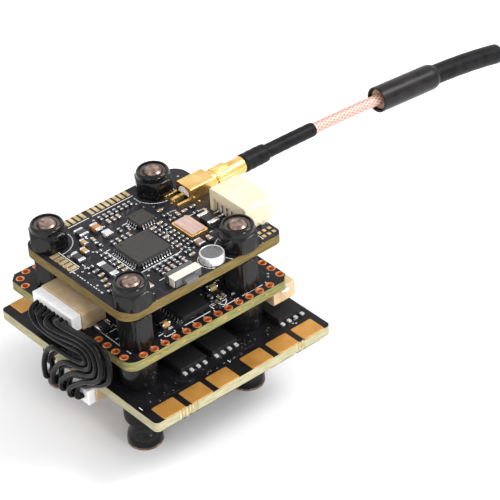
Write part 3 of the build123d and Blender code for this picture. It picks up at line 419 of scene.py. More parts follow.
CHIP = Finish("chip_epoxy", (0.010, 0.010, 0.011), (0.020, 0.019, 0.020), 0.45, grain=Grain.SPECKLE,
              scale=9000,
              bump=0.25, depth=0.00001, specular=0.15)
# The same black epoxy as CHIP, made lighter: painted sheen where the transmitter chips' tops catch the light.
SHEEN_LIT_PACKAGE = Finish("package_painted_sheen", (0.022, 0.021, 0.020), (0.045, 0.043, 0.041), 0.5, grain=Grain.SPECKLE,
                 scale=9000,
                 bump=0.25, depth=0.00001, specular=0.35)
LEAD = Finish("bright_lead", (0.60, 0.60, 0.60), (0.90, 0.90, 0.90), 0.35, 0.35, Grain.CLOUD, 2500, 0.2)
TIN = Finish("tin_plating", (0.62, 0.62, 0.63), (0.86, 0.86, 0.87), 0.24, 1.0, Grain.CLOUD, 2500, 0.25,
             0.00002)
SOLDER = Finish("solder", (0.66, 0.66, 0.68), (0.92, 0.92, 0.94), 0.18, 1.0, Grain.CLOUD, 1800, 0.3, 0.00003)
GOLD = Finish("gold_plating", (0.80, 0.46, 0.12), (1.0, 0.70, 0.28), 0.26, 0.9, Grain.CLOUD, 500, 0.08)
PAD_GOLD = Finish("pad_gold", (0.48, 0.21, 0.035), (0.70, 0.36, 0.09), 0.36, 0.45, Grain.CLOUD, 300, 0.25,
                  rough_spread=0.2, contrast=(0.15, 0.85))
PALE_GOLD = Finish("pale_gold", (0.42, 0.30, 0.13), (0.72, 0.58, 0.34), 0.35, 0.5, Grain.CLOUD, 900, 0.3)
COPPER = Finish("copper_plating", (0.52, 0.13, 0.03), (0.90, 0.36, 0.14), 0.3, 0.55, Grain.CLOUD, 1500, 0.2)
CERAMIC = Finish("ceramic", (0.9, 0.9, 0.9), (1.0, 1.0, 1.0), 0.35, grain=Grain.FINE, scale=6000, bump=0.2,
                 tint="body_tint")
CRYSTAL_LID = Finish("crystal_lid", (0.40, 0.25, 0.21), (0.66, 0.49, 0.43), 0.5, 0.0, Grain.BRUSHED, 9000,
                     0.15)
FELT = Finish("dark_felt", (0.06, 0.06, 0.06), (0.20, 0.20, 0.20), 0.95, grain=Grain.SPECKLE, scale=9000,
              bump=0.8, depth=0.00006, contrast=(0.1, 0.8))
CAN = Finish("bright_can", (0.70, 0.69, 0.68), (0.92, 0.91, 0.90), 0.25, 0.55, Grain.BRUSHED, 4000, 0.1)
SWITCH_GREY = Finish("switch_plastic", (0.06, 0.06, 0.062), (0.11, 0.11, 0.115), 0.5, scale=5000)
BUTTON_GREY = Finish("button_plastic", (0.09, 0.09, 0.095), (0.15, 0.15, 0.155), 0.4, scale=5000)
COVER = Finish("pale_cover", (0.66, 0.60, 0.48), (0.86, 0.81, 0.70), 0.35, 0.15, Grain.BRUSHED, 6000, 0.2)
# One connector plastic in two copies. This lighter copy is painted light, for the header that sits lit on the
# top board.
LIT_CONNECTOR = Finish("connector_plastic_lit_copy", (0.74, 0.62, 0.42), (0.84, 0.73, 0.54), 0.42, grain=Grain.CLOUD, scale=700,
               bump=0.12, specular=0.4)
# The darker copy of the same connector plastic is painted shade, for the headers lower in the stack.
SHADED_CONNECTOR = Finish("connector_plastic_shaded_copy", (0.56, 0.40, 0.22), (0.68, 0.52, 0.32), 0.45, grain=Grain.CLOUD, scale=700,
               bump=0.12, specular=0.4)
WHITE = Finish("white_plastic", (0.84, 0.84, 0.85), (0.93, 0.93, 0.93), 0.35, grain=Grain.CLOUD, scale=900,
               bump=0.1)
WIRE = Finish("black_wire", (0.003, 0.003, 0.003), (0.007, 0.007, 0.008), 0.26, grain=Grain.CLOUD, scale=1500,
              bump=0.12, specular=0.12)
# Dark plated steel. Its pinkish brown colour is a painted reflection of warm surroundings.
WARM_REFLECTION_SCREW = Finish("screw_plating_painted_reflection", (0.15, 0.095, 0.075), (0.42, 0.30, 0.25), 0.26, 0.8, Grain.CLOUD, 1400, 0.12)
NUT = Finish("black_nut", (0.003, 0.003, 0.003), (0.008, 0.008, 0.009), 0.13, 0.0, Grain.CLOUD, 1200, 0.12,
             specular=0.3, rough_spread=0.06)
NYLON = Finish("nylon_ring", (0.030, 0.022, 0.019), (0.085, 0.062, 0.052), 0.4, grain=Grain.CLOUD, scale=1200)
ANODISED = Finish("black_anodised", (0.003, 0.003, 0.003), (0.010, 0.010, 0.011), 0.18, 0.0, Grain.BRUSHED,
                  7000,
                  0.1, specular=0.28)
RUBBER = Finish("soft_rubber", (0.004, 0.004, 0.004), (0.011, 0.011, 0.012), 0.5, grain=Grain.FINE,
                scale=4500,
                bump=0.3, specular=0.15)
GLOSS_BLACK = Finish("gloss_washer", (0.002, 0.002, 0.002), (0.006, 0.006, 0.007), 0.14, grain=Grain.CLOUD,
                     scale=800, bump=0.06, specular=0.25)
SHRINK = Finish("heat_shrink", (0.003, 0.003, 0.004), (0.011, 0.011, 0.012), 0.42, grain=Grain.CLOUD,
                scale=700,
                bump=0.3, depth=0.00005, specular=0.12)
BRAID = Finish("pink_braid", (0.34, 0.17, 0.13), (0.70, 0.45, 0.38), 0.34, 0.2, Grain.BRAID, 2900, 0.8,
               0.00008,
               coat=0.15, contrast=(0.45, 0.95))
AMBER = Finish("amber_resin", (0.22, 0.06, 0.02), (0.48, 0.18, 0.05), 0.2, grain=Grain.CLOUD, scale=900,
               bump=0.1,
               coat=0.5, transmission=0.3)
SILK = Finish("white_ink", (0.70, 0.70, 0.70), (0.86, 0.86, 0.86), 0.6, scale=6000, bump=0.1)
SLEEVE = Finish("glossy_sleeve", (0.004, 0.003, 0.003), (0.012, 0.010, 0.010), 0.3, grain=Grain.CLOUD,
                scale=500,
                bump=0.3, depth=0.00004, specular=0.25)
TRACK = Finish("masked_track", (0.018, 0.018, 0.021), (0.034, 0.034, 0.040), 0.36, grain=Grain.CLOUD,
               scale=1500,
               specular=0.3)
STEEL = Finish("shell_steel", (0.45, 0.45, 0.46), (0.62, 0.62, 0.63), 0.3, 1.0, Grain.BRUSHED, 6000, 0.15)
FLOOR = Finish("paper_floor", (0.93, 0.925, 0.93), (0.95, 0.945, 0.95), 0.9, scale=30, bump=0.02)


# ------------------------------------------------------------------------------------------ surfaces
def grid_faces(rows: int, cols: int, wrap_rows: bool = False, wrap_cols: bool = True) -> Array:
    """Quads that join a grid of points to its neighbours.

    Args:
        rows: points along the first parameter.
        cols: points along the second parameter.
        wrap_rows: whether the last row joins the first.
        wrap_cols: whether the last column joins the first.

    Returns:
        An array of four indices a face.
    """
    row = np.arange(rows if wrap_rows else rows - 1)[:, None]
    col = np.arange(cols if wrap_cols else cols - 1)[None, :]
    after_row, after_col = (row + 1) % rows, (col + 1) % cols
    quads = (row * cols + col, row * cols + after_col, after_row * cols + after_col, after_row * cols + col)
    return np.stack(np.broadcast_arrays(*quads), -1).reshape(-1, 4)


def copies(points: Array, faces: Array, shifts: Array) -> tuple[Array, Array]:
    """The same surface at several places: every point plus every shift.

    Args:
        points: (P, 3) points of one surface.
        faces: (F, 4) its faces.
        shifts: (N, 3) places.

    Returns:
        All the points and all the faces.
    """
    count = len(points)
    everywhere = (points[None] + np.asarray(shifts, float)[:, None]).reshape(-1, 3)
    joined = (faces[None] + count * np.arange(len(shifts))[:, None, None]).reshape(-1, faces.shape[1])
    return everywhere, joined


def turned(profile: Sequence[tuple[float, float]], sides: int = 48,
           radius: Callable[[Array, Array], Array] | None = None) -> tuple[Array, Array]:
    """A closed profile of (radius, height) carried round Z: x = r cos t, y = r sin t, z = h.

    Args:
        profile: the corners of the closed profile, in metres.
        sides: points round the axis.
        radius: changes r, given the profile's radii as a column and the angles as a row.

    Returns:
        The points and the faces.
    """
    shape = np.asarray(profile, float)
    angle = np.linspace(0, 2 * math.pi, sides, endpoint=False)[None, :]
    reach = np.broadcast_to(shape[:, :1], (len(shape), sides))
    if radius:
        reach = radius(shape, angle)
    height = np.broadcast_to(shape[:, 1:], reach.shape)
    points = np.stack((reach * np.cos(angle), reach * np.sin(angle), height), -1).reshape(-1, 3)
    return points, grid_faces(len(shape), sides, wrap_rows=True)


def swept(path: Array, profile: Sequence[tuple[float, float]], sides: int = 32,
          radius: Callable[[Array, Array], Array] | None = None) -> tuple[Array, Array, Array]:
    """A closed profile of (radius, length along a line) carried round the line.

    A point of the profile sits at its length along the line, and at its radius from it, across X and across
    the line's own normal.

    Args:
        path: (P, 3) points of a line in a plane of constant X.
        profile: (radius, length) corners, in metres; lengths past an end carry straight on.
        sides: points round the line.
        radius: changes the radii, given the profile as columns and the angles as a row.

    Returns:
        The points, the faces and the UV of each point: turns round, metres along.
    """
    shape = np.asarray(profile, float)
    steps = np.linalg.norm(np.diff(path, axis=0), axis=1)
    along = np.concatenate(([0.0], np.cumsum(steps)))
    tangent = np.gradient(path, along, axis=0)
    place = np.stack([np.interp(shape[:, 1], along, path[:, k]) for k in range(3)], -1)
    heading = np.stack([np.interp(shape[:, 1], along, tangent[:, k]) for k in range(3)], -1)
    heading /= np.linalg.norm(heading, axis=1, keepdims=True)
    place += heading * (shape[:, 1] - np.clip(shape[:, 1], 0, along[-1]))[:, None]
    across = np.array([1.0, 0.0, 0.0])
    normal = np.cross(heading, across)
    angle = np.linspace(0, 2 * math.pi, sides, endpoint=False)[None, :]
    reach = np.broadcast_to(shape[:, :1], (len(shape), sides))
    if radius:
        reach = radius(shape, angle)
    points = (place[:, None] + (reach * np.cos(angle))[..., None] * across
              + (reach * np.sin(angle))[..., None] * normal[:, None])
    uv = np.stack(np.broadcast_arrays(angle / (2 * math.pi), shape[:, 1:]), -1)
    return points.reshape(-1, 3), grid_faces(len(shape), sides, wrap_rows=True), uv.reshape(-1, 2)


def rounded_boxes(centres: Array, halves: Array, sharpness: float = 0.22, rows: int = 7,
                  cols: int = 12) -> tuple[Array, Array]:
    """Superellipsoids: each sine and cosine of an ellipsoid is raised to a small power, which squares it up.

    Args:
        centres: (N, 3) middles.
        halves: (N, 3) half sizes.
        sharpness: the power; smaller is squarer.
        rows: points from pole to pole.
        cols: points round the middle.

    Returns:
        The points and the faces of all N.
    """
    def power(values: Array) -> Array:
        """Raises the size of a value to the power and keeps its sign.

        Args:
            values: sines or cosines.

        Returns:
            The squared-up values.
        """
        return np.sign(values) * np.abs(values) ** sharpness

    tilt = np.linspace(-math.pi / 2, math.pi / 2, rows)[:, None]
    turn = (np.arange(cols) + 0.5)[None, :] * 2 * math.pi / cols
    unit = np.stack(np.broadcast_arrays(power(np.cos(tilt)) * power(np.cos(turn)),
                                        power(np.cos(tilt)) * power(np.sin(turn)), power(np.sin(tilt))), -1)
    unit = unit.reshape(-1, 3)
    points = np.asarray(centres, float)[:, None] + unit[None] * np.asarray(halves, float)[:, None]
    faces = grid_faces(rows, cols)
    joined = faces[None] + len(unit) * np.arange(len(centres))[:, None, None]
    return points.reshape(-1, 3), joined.reshape(-1, 4)


def ribbons(lines: Sequence[Sequence[tuple[float, float]]], width: float, level: float,
            thickness: float) -> tuple[Array, Array]:
    """Thin flat bars along straight lines on a board, each half a width longer at both ends.

    Args:
        lines: polylines of (x, y), in millimetres.
        width: in millimetres.
        level: height of the board's face, in metres.
        thickness: in metres.

    Returns:
        The points and the faces of closed bars.
    """
    starts = np.array([p for line in lines for p in line[:-1]], float) * MM
    ends = np.array([p for line in lines for p in line[1:]], float) * MM
    ahead = ends - starts
    ahead /= np.maximum(np.linalg.norm(ahead, axis=1, keepdims=True), 1e-9)
    aside = np.stack((-ahead[:, 1], ahead[:, 0]), -1)
    half = width * MM / 2
    starts, ends = starts - ahead * half, ends + ahead * half
    side = aside * half
    loop = np.stack((starts - side, ends - side, ends + side, starts + side), 1)
    low = np.concatenate((loop, np.full((*loop.shape[:2], 1), level)), -1)
    high = low + (0, 0, thickness)
    faces = np.array([(3, 2, 1, 0), (4, 5, 6, 7), (0, 1, 5, 4), (1, 2, 6, 5), (2, 3, 7, 6), (3, 0, 4, 7)])
    joined = faces[None] + 8 * np.arange(len(low))[:, None, None]
    return np.concatenate((low, high), 1).reshape(-1, 3), joined.reshape(-1, 4)


def arc(centre: tuple[float, float], radius: float, start: float, end: float,
        steps: int = 14) -> list[tuple[float, float]]:
    """Points of an arc in millimetres: centre + radius (cos t, sin t).

    Args:
        centre: (x, y).
        radius: its radius.
        start: first angle, in degrees.
        end: last angle, in degrees.
        steps: how many points.

    Returns:
        The points.
    """
    angle = np.radians(np.linspace(start, end, steps))
    return list(zip(centre[0] + radius * np.cos(angle), centre[1] + radius * np.sin(angle)))


def from_flat(angle: Array) -> Array:
    """The angle from the middle of a hexagon's nearest flat, with one flat towards +X.

    Args:
        angle: angles round the axis.

    Returns:
        Angles from -30 to 30 degrees, in radians.
    """
    return (angle + math.pi / 6) % (math.pi / 3) - math.pi / 6


def piece(name: str, points: Array, faces: Array, finish: Finish, body: str,
          sharp: float = 35.0, uv: Array | None = None) -> bpy.types.Object:
    """Makes an object of a worked-out surface, with its doubles merged and its faces outwards.

    Args:
        name: the piece's name.
        points: (P, 3) in the row frame.
        faces: (F, 4) indices.
        finish: its finish.
        body: the CAD body that it rides on.
        sharp: edges that turn more than this many degrees stay sharp.
        uv: (P, 2), or None.

    Returns:
        The object.
    """
    mesh = bpy.data.meshes.new(name)
    mesh.from_pydata(points.tolist(), [], faces.tolist())
    if uv is not None:
        layer = mesh.uv_layers.new(name="around_along")
        corner = np.zeros(len(mesh.loops), np.int32)
        mesh.loops.foreach_get("vertex_index", corner)
        around = uv[corner].reshape(-1, 4, 2)
        turns = around[..., 0]
        turns[:] = np.where(around[..., :1].max(1) - turns > 0.5, turns + 1, turns)
        layer.data.foreach_set("uv", around.reshape(-1).astype(np.float32))
    close(mesh, outwards=uv is None)
    return dress(bpy.data.objects.new(name, mesh), finish, body, sharp)


def close(mesh: bpy.types.Mesh, outwards: bool = True) -> None:
    """Merges a mesh's doubles and turns its faces outwards.

    Args:
        mesh: the mesh to change.
        outwards: whether the faces are turned; a swept surface that has a UV map already faces outwards.
    """
    work = bmesh.new()
    work.from_mesh(mesh)
    bmesh.ops.remove_doubles(work, verts=work.verts, dist=1e-7)
    if outwards:
        bmesh.ops.recalc_face_normals(work, faces=work.faces)
    work.to_mesh(mesh)
    work.free()


def dress(made: bpy.types.Object, finish: Finish, body: str, sharp: float) -> bpy.types.Object:
    """Links an object, gives it its finish and its body, and smooths it up to an angle.

    Args:
        made: the object.
        finish: its finish.
        body: the CAD body that it rides on.
        sharp: edges that turn more than this many degrees stay sharp.

    Returns:
        The object.
    """
    bpy.context.scene.collection.objects.link(made)
    made.data.materials.clear()
    made.data.materials.append(finish.material())
    made.data.shade_smooth()
    made.data.set_sharp_from_angle(angle=math.radians(sharp))
    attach(made, body)
    LOG.info("%s rides on %s", made.name, body)
    return made


def rounded_copy(frame: dict, node: str, finish: Finish, body: str, width_mm: float) -> bpy.types.Object:
    """A copy of a CAD node with its edges broken, which stands for it.

    Args:
        node: the node's name.
        finish: its finish.
        body: the body it rides on.
        width_mm: the width of the broken edge.

    Returns:
        The object.
    """
    mesh = frame["nodes"][node].data.copy()
    work = bmesh.new()
    work.from_mesh(mesh)
    bmesh.ops.remove_doubles(work, verts=work.verts, dist=2e-7)
    bmesh.ops.dissolve_limit(work, angle_limit=math.radians(1.0), verts=work.verts, edges=work.edges)
    work.to_mesh(mesh)
    work.free()
    made = dress(bpy.data.objects.new(node + "_finished", mesh), finish, body, 35.0)
    broken = made.modifiers.new("edges", "BEVEL")
    broken.width = width_mm * MM
    broken.segments = 2
    broken.limit_method = "ANGLE"
    broken.angle_limit = math.radians(32)
    broken.harden_normals = True
    broken.use_clamp_overlap = True
    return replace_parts(made, node)


def paint(frame: dict, node: str, finish: Finish | BoardFinish) -> None:
    """Gives a CAD node its finish.

    Args:
        node: the node's name.
        finish: its finish.
    """
    mesh = frame["nodes"][node].data
    mesh.materials.clear()
    mesh.materials.append(finish.material())


def vertex_places(mesh: bpy.types.Mesh) -> Array:
    """The places of a mesh's vertices.

    Args:
        mesh: the mesh to read.

    Returns:
        (V, 3) places.
    """
    places = np.zeros(len(mesh.vertices) * 3)
    mesh.vertices.foreach_get("co", places)
    return places.reshape(-1, 3)


def islands(frame: dict, node: str) -> Array:
    """The box of each separate solid of a CAD node.

    Points that share a place are joined, then the lowest index spreads over each joined set.

    Args:
        node: the node's name.

    Returns:
        (N, 2, 3) lowest and highest corners.
    """
    mesh = frame["nodes"][node].data
    places = vertex_places(mesh)
    ends = np.zeros(len(mesh.edges) * 2, np.int64)
    mesh.edges.foreach_get("vertices", ends)
    _, same = np.unique(np.round(places, 7), axis=0, return_inverse=True)
    same = same.reshape(-1)
    ends = same[ends.reshape(-1, 2)]
    label = np.arange(same.max() + 1)
    while True:
        lower = label.copy()
        np.minimum.at(lower, ends[:, 0], label[ends[:, 1]])
        np.minimum.at(lower, ends[:, 1], label[ends[:, 0]])
        if np.array_equal(lower, label):
            break
        label = lower
    solid = label[same]
    return np.array([(places[solid == k].min(0), places[solid == k].max(0)) for k in np.unique(solid)])


SCREW_PLACES = np.array([(x, y, 0.0) for x in (-10.0, 10.0) for y in (-10.0, 10.0)]) * MM
ESC_TOP, FC_TOP, VTX_TOP = 11.5 * MM, 18.5 * MM, 25.6 * MM


# ------------------------------------------------------------------------------------------ studio
@dataclass
class Studio:
    """The camera, the paper floor and the lights."""

    azimuth: float = 51.647
    elevation: float = 35.697
    roll: float = -3.6
    place: tuple[float, float, float] = (0.23663, -0.16725, 0.23127)
    lens: float = 172.8
    floor_half: float = 1.5
    world: float = 0.98

    def camera(self) -> None:
        """Makes the camera: its back leans by the azimuth and elevation, and it rolls about that."""
        turn, tilt, lean = (math.radians(a) for a in (self.azimuth, self.elevation, self.roll))
        back = Vector((math.sin(turn) * math.cos(tilt), -math.cos(turn) * math.cos(tilt), math.sin(tilt)))
        level = Vector((math.cos(turn), math.sin(turn), 0.0))
        upright = back.cross(level)
        right = level * math.cos(lean) + upright * math.sin(lean)
        up = upright * math.cos(lean) - level * math.sin(lean)
        lens = bpy.data.cameras.new("camera")
        lens.lens, lens.sensor_width = self.lens, 36.0
        lens.clip_start, lens.clip_end = 0.01, 10.0
        made = bpy.data.objects.new("camera", lens)
        made.matrix_world = Matrix((right, up, back)).transposed().to_4x4()
        made.location = self.place
        bpy.context.scene.collection.objects.link(made)
        bpy.context.scene.camera = made

    def floor(self) -> None:
        """Makes the floor, one flat square under the screw heads."""
        half = self.floor_half
        mesh = bpy.data.meshes.new("floor")
        mesh.from_pydata([(-half, -half, 0), (half, -half, 0), (half, half, 0), (-half, half, 0)], [],
                         [(0, 1, 2, 3)])
        made = bpy.data.objects.new("floor", mesh)
        mesh.materials.append(FLOOR.material())
        bpy.context.scene.collection.objects.link(made)

    def lights(self) -> None:
        """Makes a white surround, a strong panel behind on the right, two fills and a narrow strip."""
        world = bpy.data.worlds.new("surround")
        world.use_nodes = True
        world.node_tree.nodes["Background"].inputs["Color"].default_value = (1.0, 1.0, 1.0, 1.0)
        world.node_tree.nodes["Background"].inputs["Strength"].default_value = self.world
        bpy.context.scene.world = world
        bpy.context.scene.view_settings.view_transform = "Standard"
        for name, place, size, power in (("panel", (0.20, 0.32, 0.42), 0.24, 1.7),
                                         ("front_fill", (0.15, -0.45, 0.25), 0.35, 0.3),
                                         ("left_fill", (-0.40, -0.05, 0.35), 0.30, 0.3),
                                         ("right_strip", (0.42, 0.02, 0.13), 0.09, 0.7)):
            lamp = bpy.data.lights.new(name, "AREA")
            lamp.size, lamp.energy = size, power
            made = bpy.data.objects.new(name, lamp)
            made.location = place
            made.rotation_mode = "QUATERNION"
            made.rotation_quaternion = (Vector(place) - Vector((0, 0, 0.015))).to_track_quat("Z", "Y")
            bpy.context.scene.collection.objects.link(made)


# ------------------------------------------------------------------------------------------ harness
@dataclass
class Harness:
    """Eight wires and the two white plugs."""

    diameter: float = 0.00086
    order: int = 3

    def wires(self) -> None:
        """Makes each wire as one smooth spline whose control points are its route."""
        for number, (route, length) in enumerate(zip(ROUTES, WIRE_LENGTHS), start=1):
            curve = bpy.data.curves.new(f"wire_{number}", "CURVE")
            curve.dimensions = "3D"
            curve.bevel_depth = self.diameter / 2
            curve.bevel_resolution = 4
            curve.resolution_u = 6
            curve.use_fill_caps = True
            line = curve.splines.new("NURBS")
            line.points.add(len(route) - 1)
            line.points.foreach_set("co", np.c_[np.array(route), np.ones(len(route))].reshape(-1))
            line.order_u = self.order
            line.use_endpoint_u = True
            made = bpy.data.objects.new(f"wire_{number}", curve)
            bpy.context.scene.collection.objects.link(made)
            curve.materials.append(WIRE.material())
            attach(made, "harness")
            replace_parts(made, f"harness_wire_{number}")

    def plugs(self, frame: dict) -> None:
        """Makes the plugs, with a crimp window over each wire.
        """
        for node, top in (("upper_plug", True), ("lower_plug", False)):
            rounded_copy(frame, node, WHITE, "harness", 0.12)
            low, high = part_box(node)
            pitch = np.arange(8) - 3.5
            face = high.z if top else low.z
            middle = (low.x + high.x) / 2
            places = np.stack((middle + pitch * MM, np.full(8, low.y + 0.55 * MM), np.full(8, face)), -1)
            points, faces = rounded_boxes(places, np.full((8, 3), (0.2, 0.3, 0.04)) * MM)
            piece(node + "_windows", points, faces, WHITE, "harness")


# ------------------------------------------------------------------------------------------ hardware
@dataclass
class Hardware:
    """Screws, nuts, spacers and washers on the four screw places."""

    nut_flats: float = 5.5
    standoff_flats: float = 5.0
    thread_depth: float = 0.09
    thread_pitch: float = 0.5

    def build(self) -> None:
        """Makes all of them."""
        self._nuts()
        self._standoffs()
        self._lathe("domed_washer", "domed_washers", GLOSS_BLACK, 1.1,
                    [(2.34, -0.7), (2.6, -0.7), (2.7, -0.6), (2.74, -0.4), (2.73, -0.05), (2.66, 0.4),
                     (2.52, 0.85),
                     (2.32, 1.25), (2.12, 1.65), (1.98, 2.05), (1.92, 2.4), (1.92, 2.7), (1.5, 2.7),
                     (1.5, 0.02),
                     (2.34, 0.02)])
        self._lathe("rubber_spacer", "rubber_spacers", RUBBER, 3.8,
                    [(1.5, 0), (2.2, 0), (2.34, 0.1), (2.5, 0.3), (2.76, 0.75), (2.86, 1.0), (2.89, 1.4),
                     (2.88, 2.6),
                     (2.87, 3.6), (2.88, 4.6), (2.89, 5.8), (2.82, 6.02), (2.7, 6.1), (1.5, 6.1)])
        self._lathe("round_spacer", "round_spacers", ANODISED, 11.5,
                    [(1.56, 0), (2.8, 0), (2.9, 0.06), (2.95, 0.18), (2.95, 5.22), (2.9, 5.34), (2.8, 5.4),
                     (1.56, 5.4)])
        self._lathe("nylon_ring", "nut_rings", NYLON, 25.6,
                    [(1.47, 2.5), (2.04, 2.5), (2.04, 3.62), (1.98, 3.7), (1.85, 3.7), (1.6, 3.62),
                     (1.47, 3.5)])
        self._screws()

    def _lathe(self, name: str, node: str, finish: Finish, level: float,
               profile: Sequence[tuple[float, float]]) -> bpy.types.Object:
        """Turns one profile on each screw and lets it stand for a node.

        Args:
            name: the start of the piece's name.
            node: the node that it stands for.
            finish: its finish.
            level: the height of the profile's foot, in millimetres.
            profile: (radius, height) corners, in millimetres.

        Returns:
            The object.
        """
        points, faces = turned(np.array(profile) * MM, 56)
        points, faces = copies(points, faces, SCREW_PLACES + (0, 0, level * MM))
        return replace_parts(piece(name + "_set", points, faces, finish, "stack"), node)

    @staticmethod
    def _hexagon(flats: float) -> Callable[[Array, Array], Array]:
        """The reach of a hexagon with flats towards +X, cut back to each profile radius.

        Args:
            flats: the hexagon's width across its flats, in millimetres.

        Returns:
            The function that turned() takes as its radius.
        """
        def reach(shape: Array, angle: Array) -> Array:
            """A flat's distance over the cosine of the angle from the middle of that flat, or r if less.

            Args:
                shape: the profile's (radius, height) rows.
                angle: the angles round it.

            Returns:
                The radius of each row at each angle.
            """
            flat = flats / 2 * MM / np.cos(from_flat(angle))
            soft = flat - np.maximum(0, flat / (flats / 2 * MM) - 1.135) * 0.6 * MM
            return np.minimum(soft, shape[:, :1])
        return reach

    def _nuts(self) -> None:
        """A hexagon with chamfered ends, then a round collar rolled in over the nylon ring."""
        profile = np.array([(1.5, 0.0), (2.70, 0.0), (2.86, 0.05), (3.2, 0.3), (3.2, 2.35), (3.0, 2.58),
                            (2.78, 2.74),
                            (2.65, 2.82), (2.58, 2.92), (2.58, 3.35), (2.56, 3.62), (2.46, 3.82),
                            (2.32, 3.95),
                            (2.2, 4.0), (2.1, 3.96), (2.05, 3.84), (2.05, 2.5), (1.5, 2.5)]) * MM
        points, faces = turned(profile, 96, self._hexagon(self.nut_flats))
        points, faces = copies(points, faces, SCREW_PLACES + (0, 0, VTX_TOP))
        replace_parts(piece("lock_nut_set", points, faces, NUT, "stack", 28.0),
                    "lock_nuts")

    def _standoffs(self) -> None:
        """A hexagon with chamfered ends."""
        profile = np.array([(1.56, 0.0), (2.46, 0.0), (2.58, 0.05), (3.0, 0.25), (3.0, 5.25), (2.58, 5.45),
                            (2.46, 5.5), (1.56, 5.5)]) * MM
        points, faces = turned(profile, 96, self._hexagon(self.standoff_flats))
        points, faces = copies(points, faces, SCREW_PLACES + (0, 0, FC_TOP))
        made = piece("standoff_set", points, faces, ANODISED, "stack", 28.0)
        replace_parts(made, "hex_standoffs")

    def _screws(self) -> None:
        """A head with a hexagonal socket, a plain shank, and a thread where the tip shows in the nut.

        The thread's radius falls by a triangle wave of height over pitch less the angle's share of a turn.
        """
        ridges = np.linspace(27.6, 29.3, 52)
        profile = [(0.0, 0.4), (1.0, 0.4), (1.02, 0.0), (2.62, 0.0), (2.72, 0.05), (2.75, 0.12),
                   (2.75, 0.33), (2.7, 0.38), (2.32, 0.38), (2.3, 1.1), (1.45, 1.1)]
        profile += [(1.45, z) for z in ridges] + [(1.22, 29.52), (1.14, 29.6), (1.0, 29.6), (0.8, 29.48),
                                                  (0.0, 29.44)]

        def thread(shape: Array, angle: Array) -> Array:
            """Cuts the thread into the tip and the socket into the head.

            Args:
                shape: the profile's (radius, height) rows.
                angle: the angles round it.

            Returns:
                The radius of each row at each angle.
            """
            reach = np.repeat(shape[:, :1], angle.shape[1], 1)
            height = shape[:, 1:]
            wave = np.abs(((height / MM / self.thread_pitch - angle / (2 * math.pi)) % 1.0) * 2 - 1)
            cut = (height > 27.5 * MM) & (height < 29.55 * MM) & (reach > 1.2 * MM)
            reach = np.where(cut, reach - wave * self.thread_depth * MM, reach)
            socket = (height < 0.45 * MM) & (reach < 1.1 * MM) & (reach > 0.5 * MM)
            return np.where(socket, 1.0 * MM / np.cos(from_flat(angle)), reach)

        points, faces = turned(np.array(profile) * MM, 48, thread)
        open_end = faces[:, 0] < (len(profile) - 1) * 48
        points, faces = copies(points, faces[open_end], SCREW_PLACES)
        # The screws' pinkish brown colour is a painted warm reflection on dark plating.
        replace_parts(piece("screw_set", points, faces, WARM_REFLECTION_SCREW, "stack", 30.0), "screws")


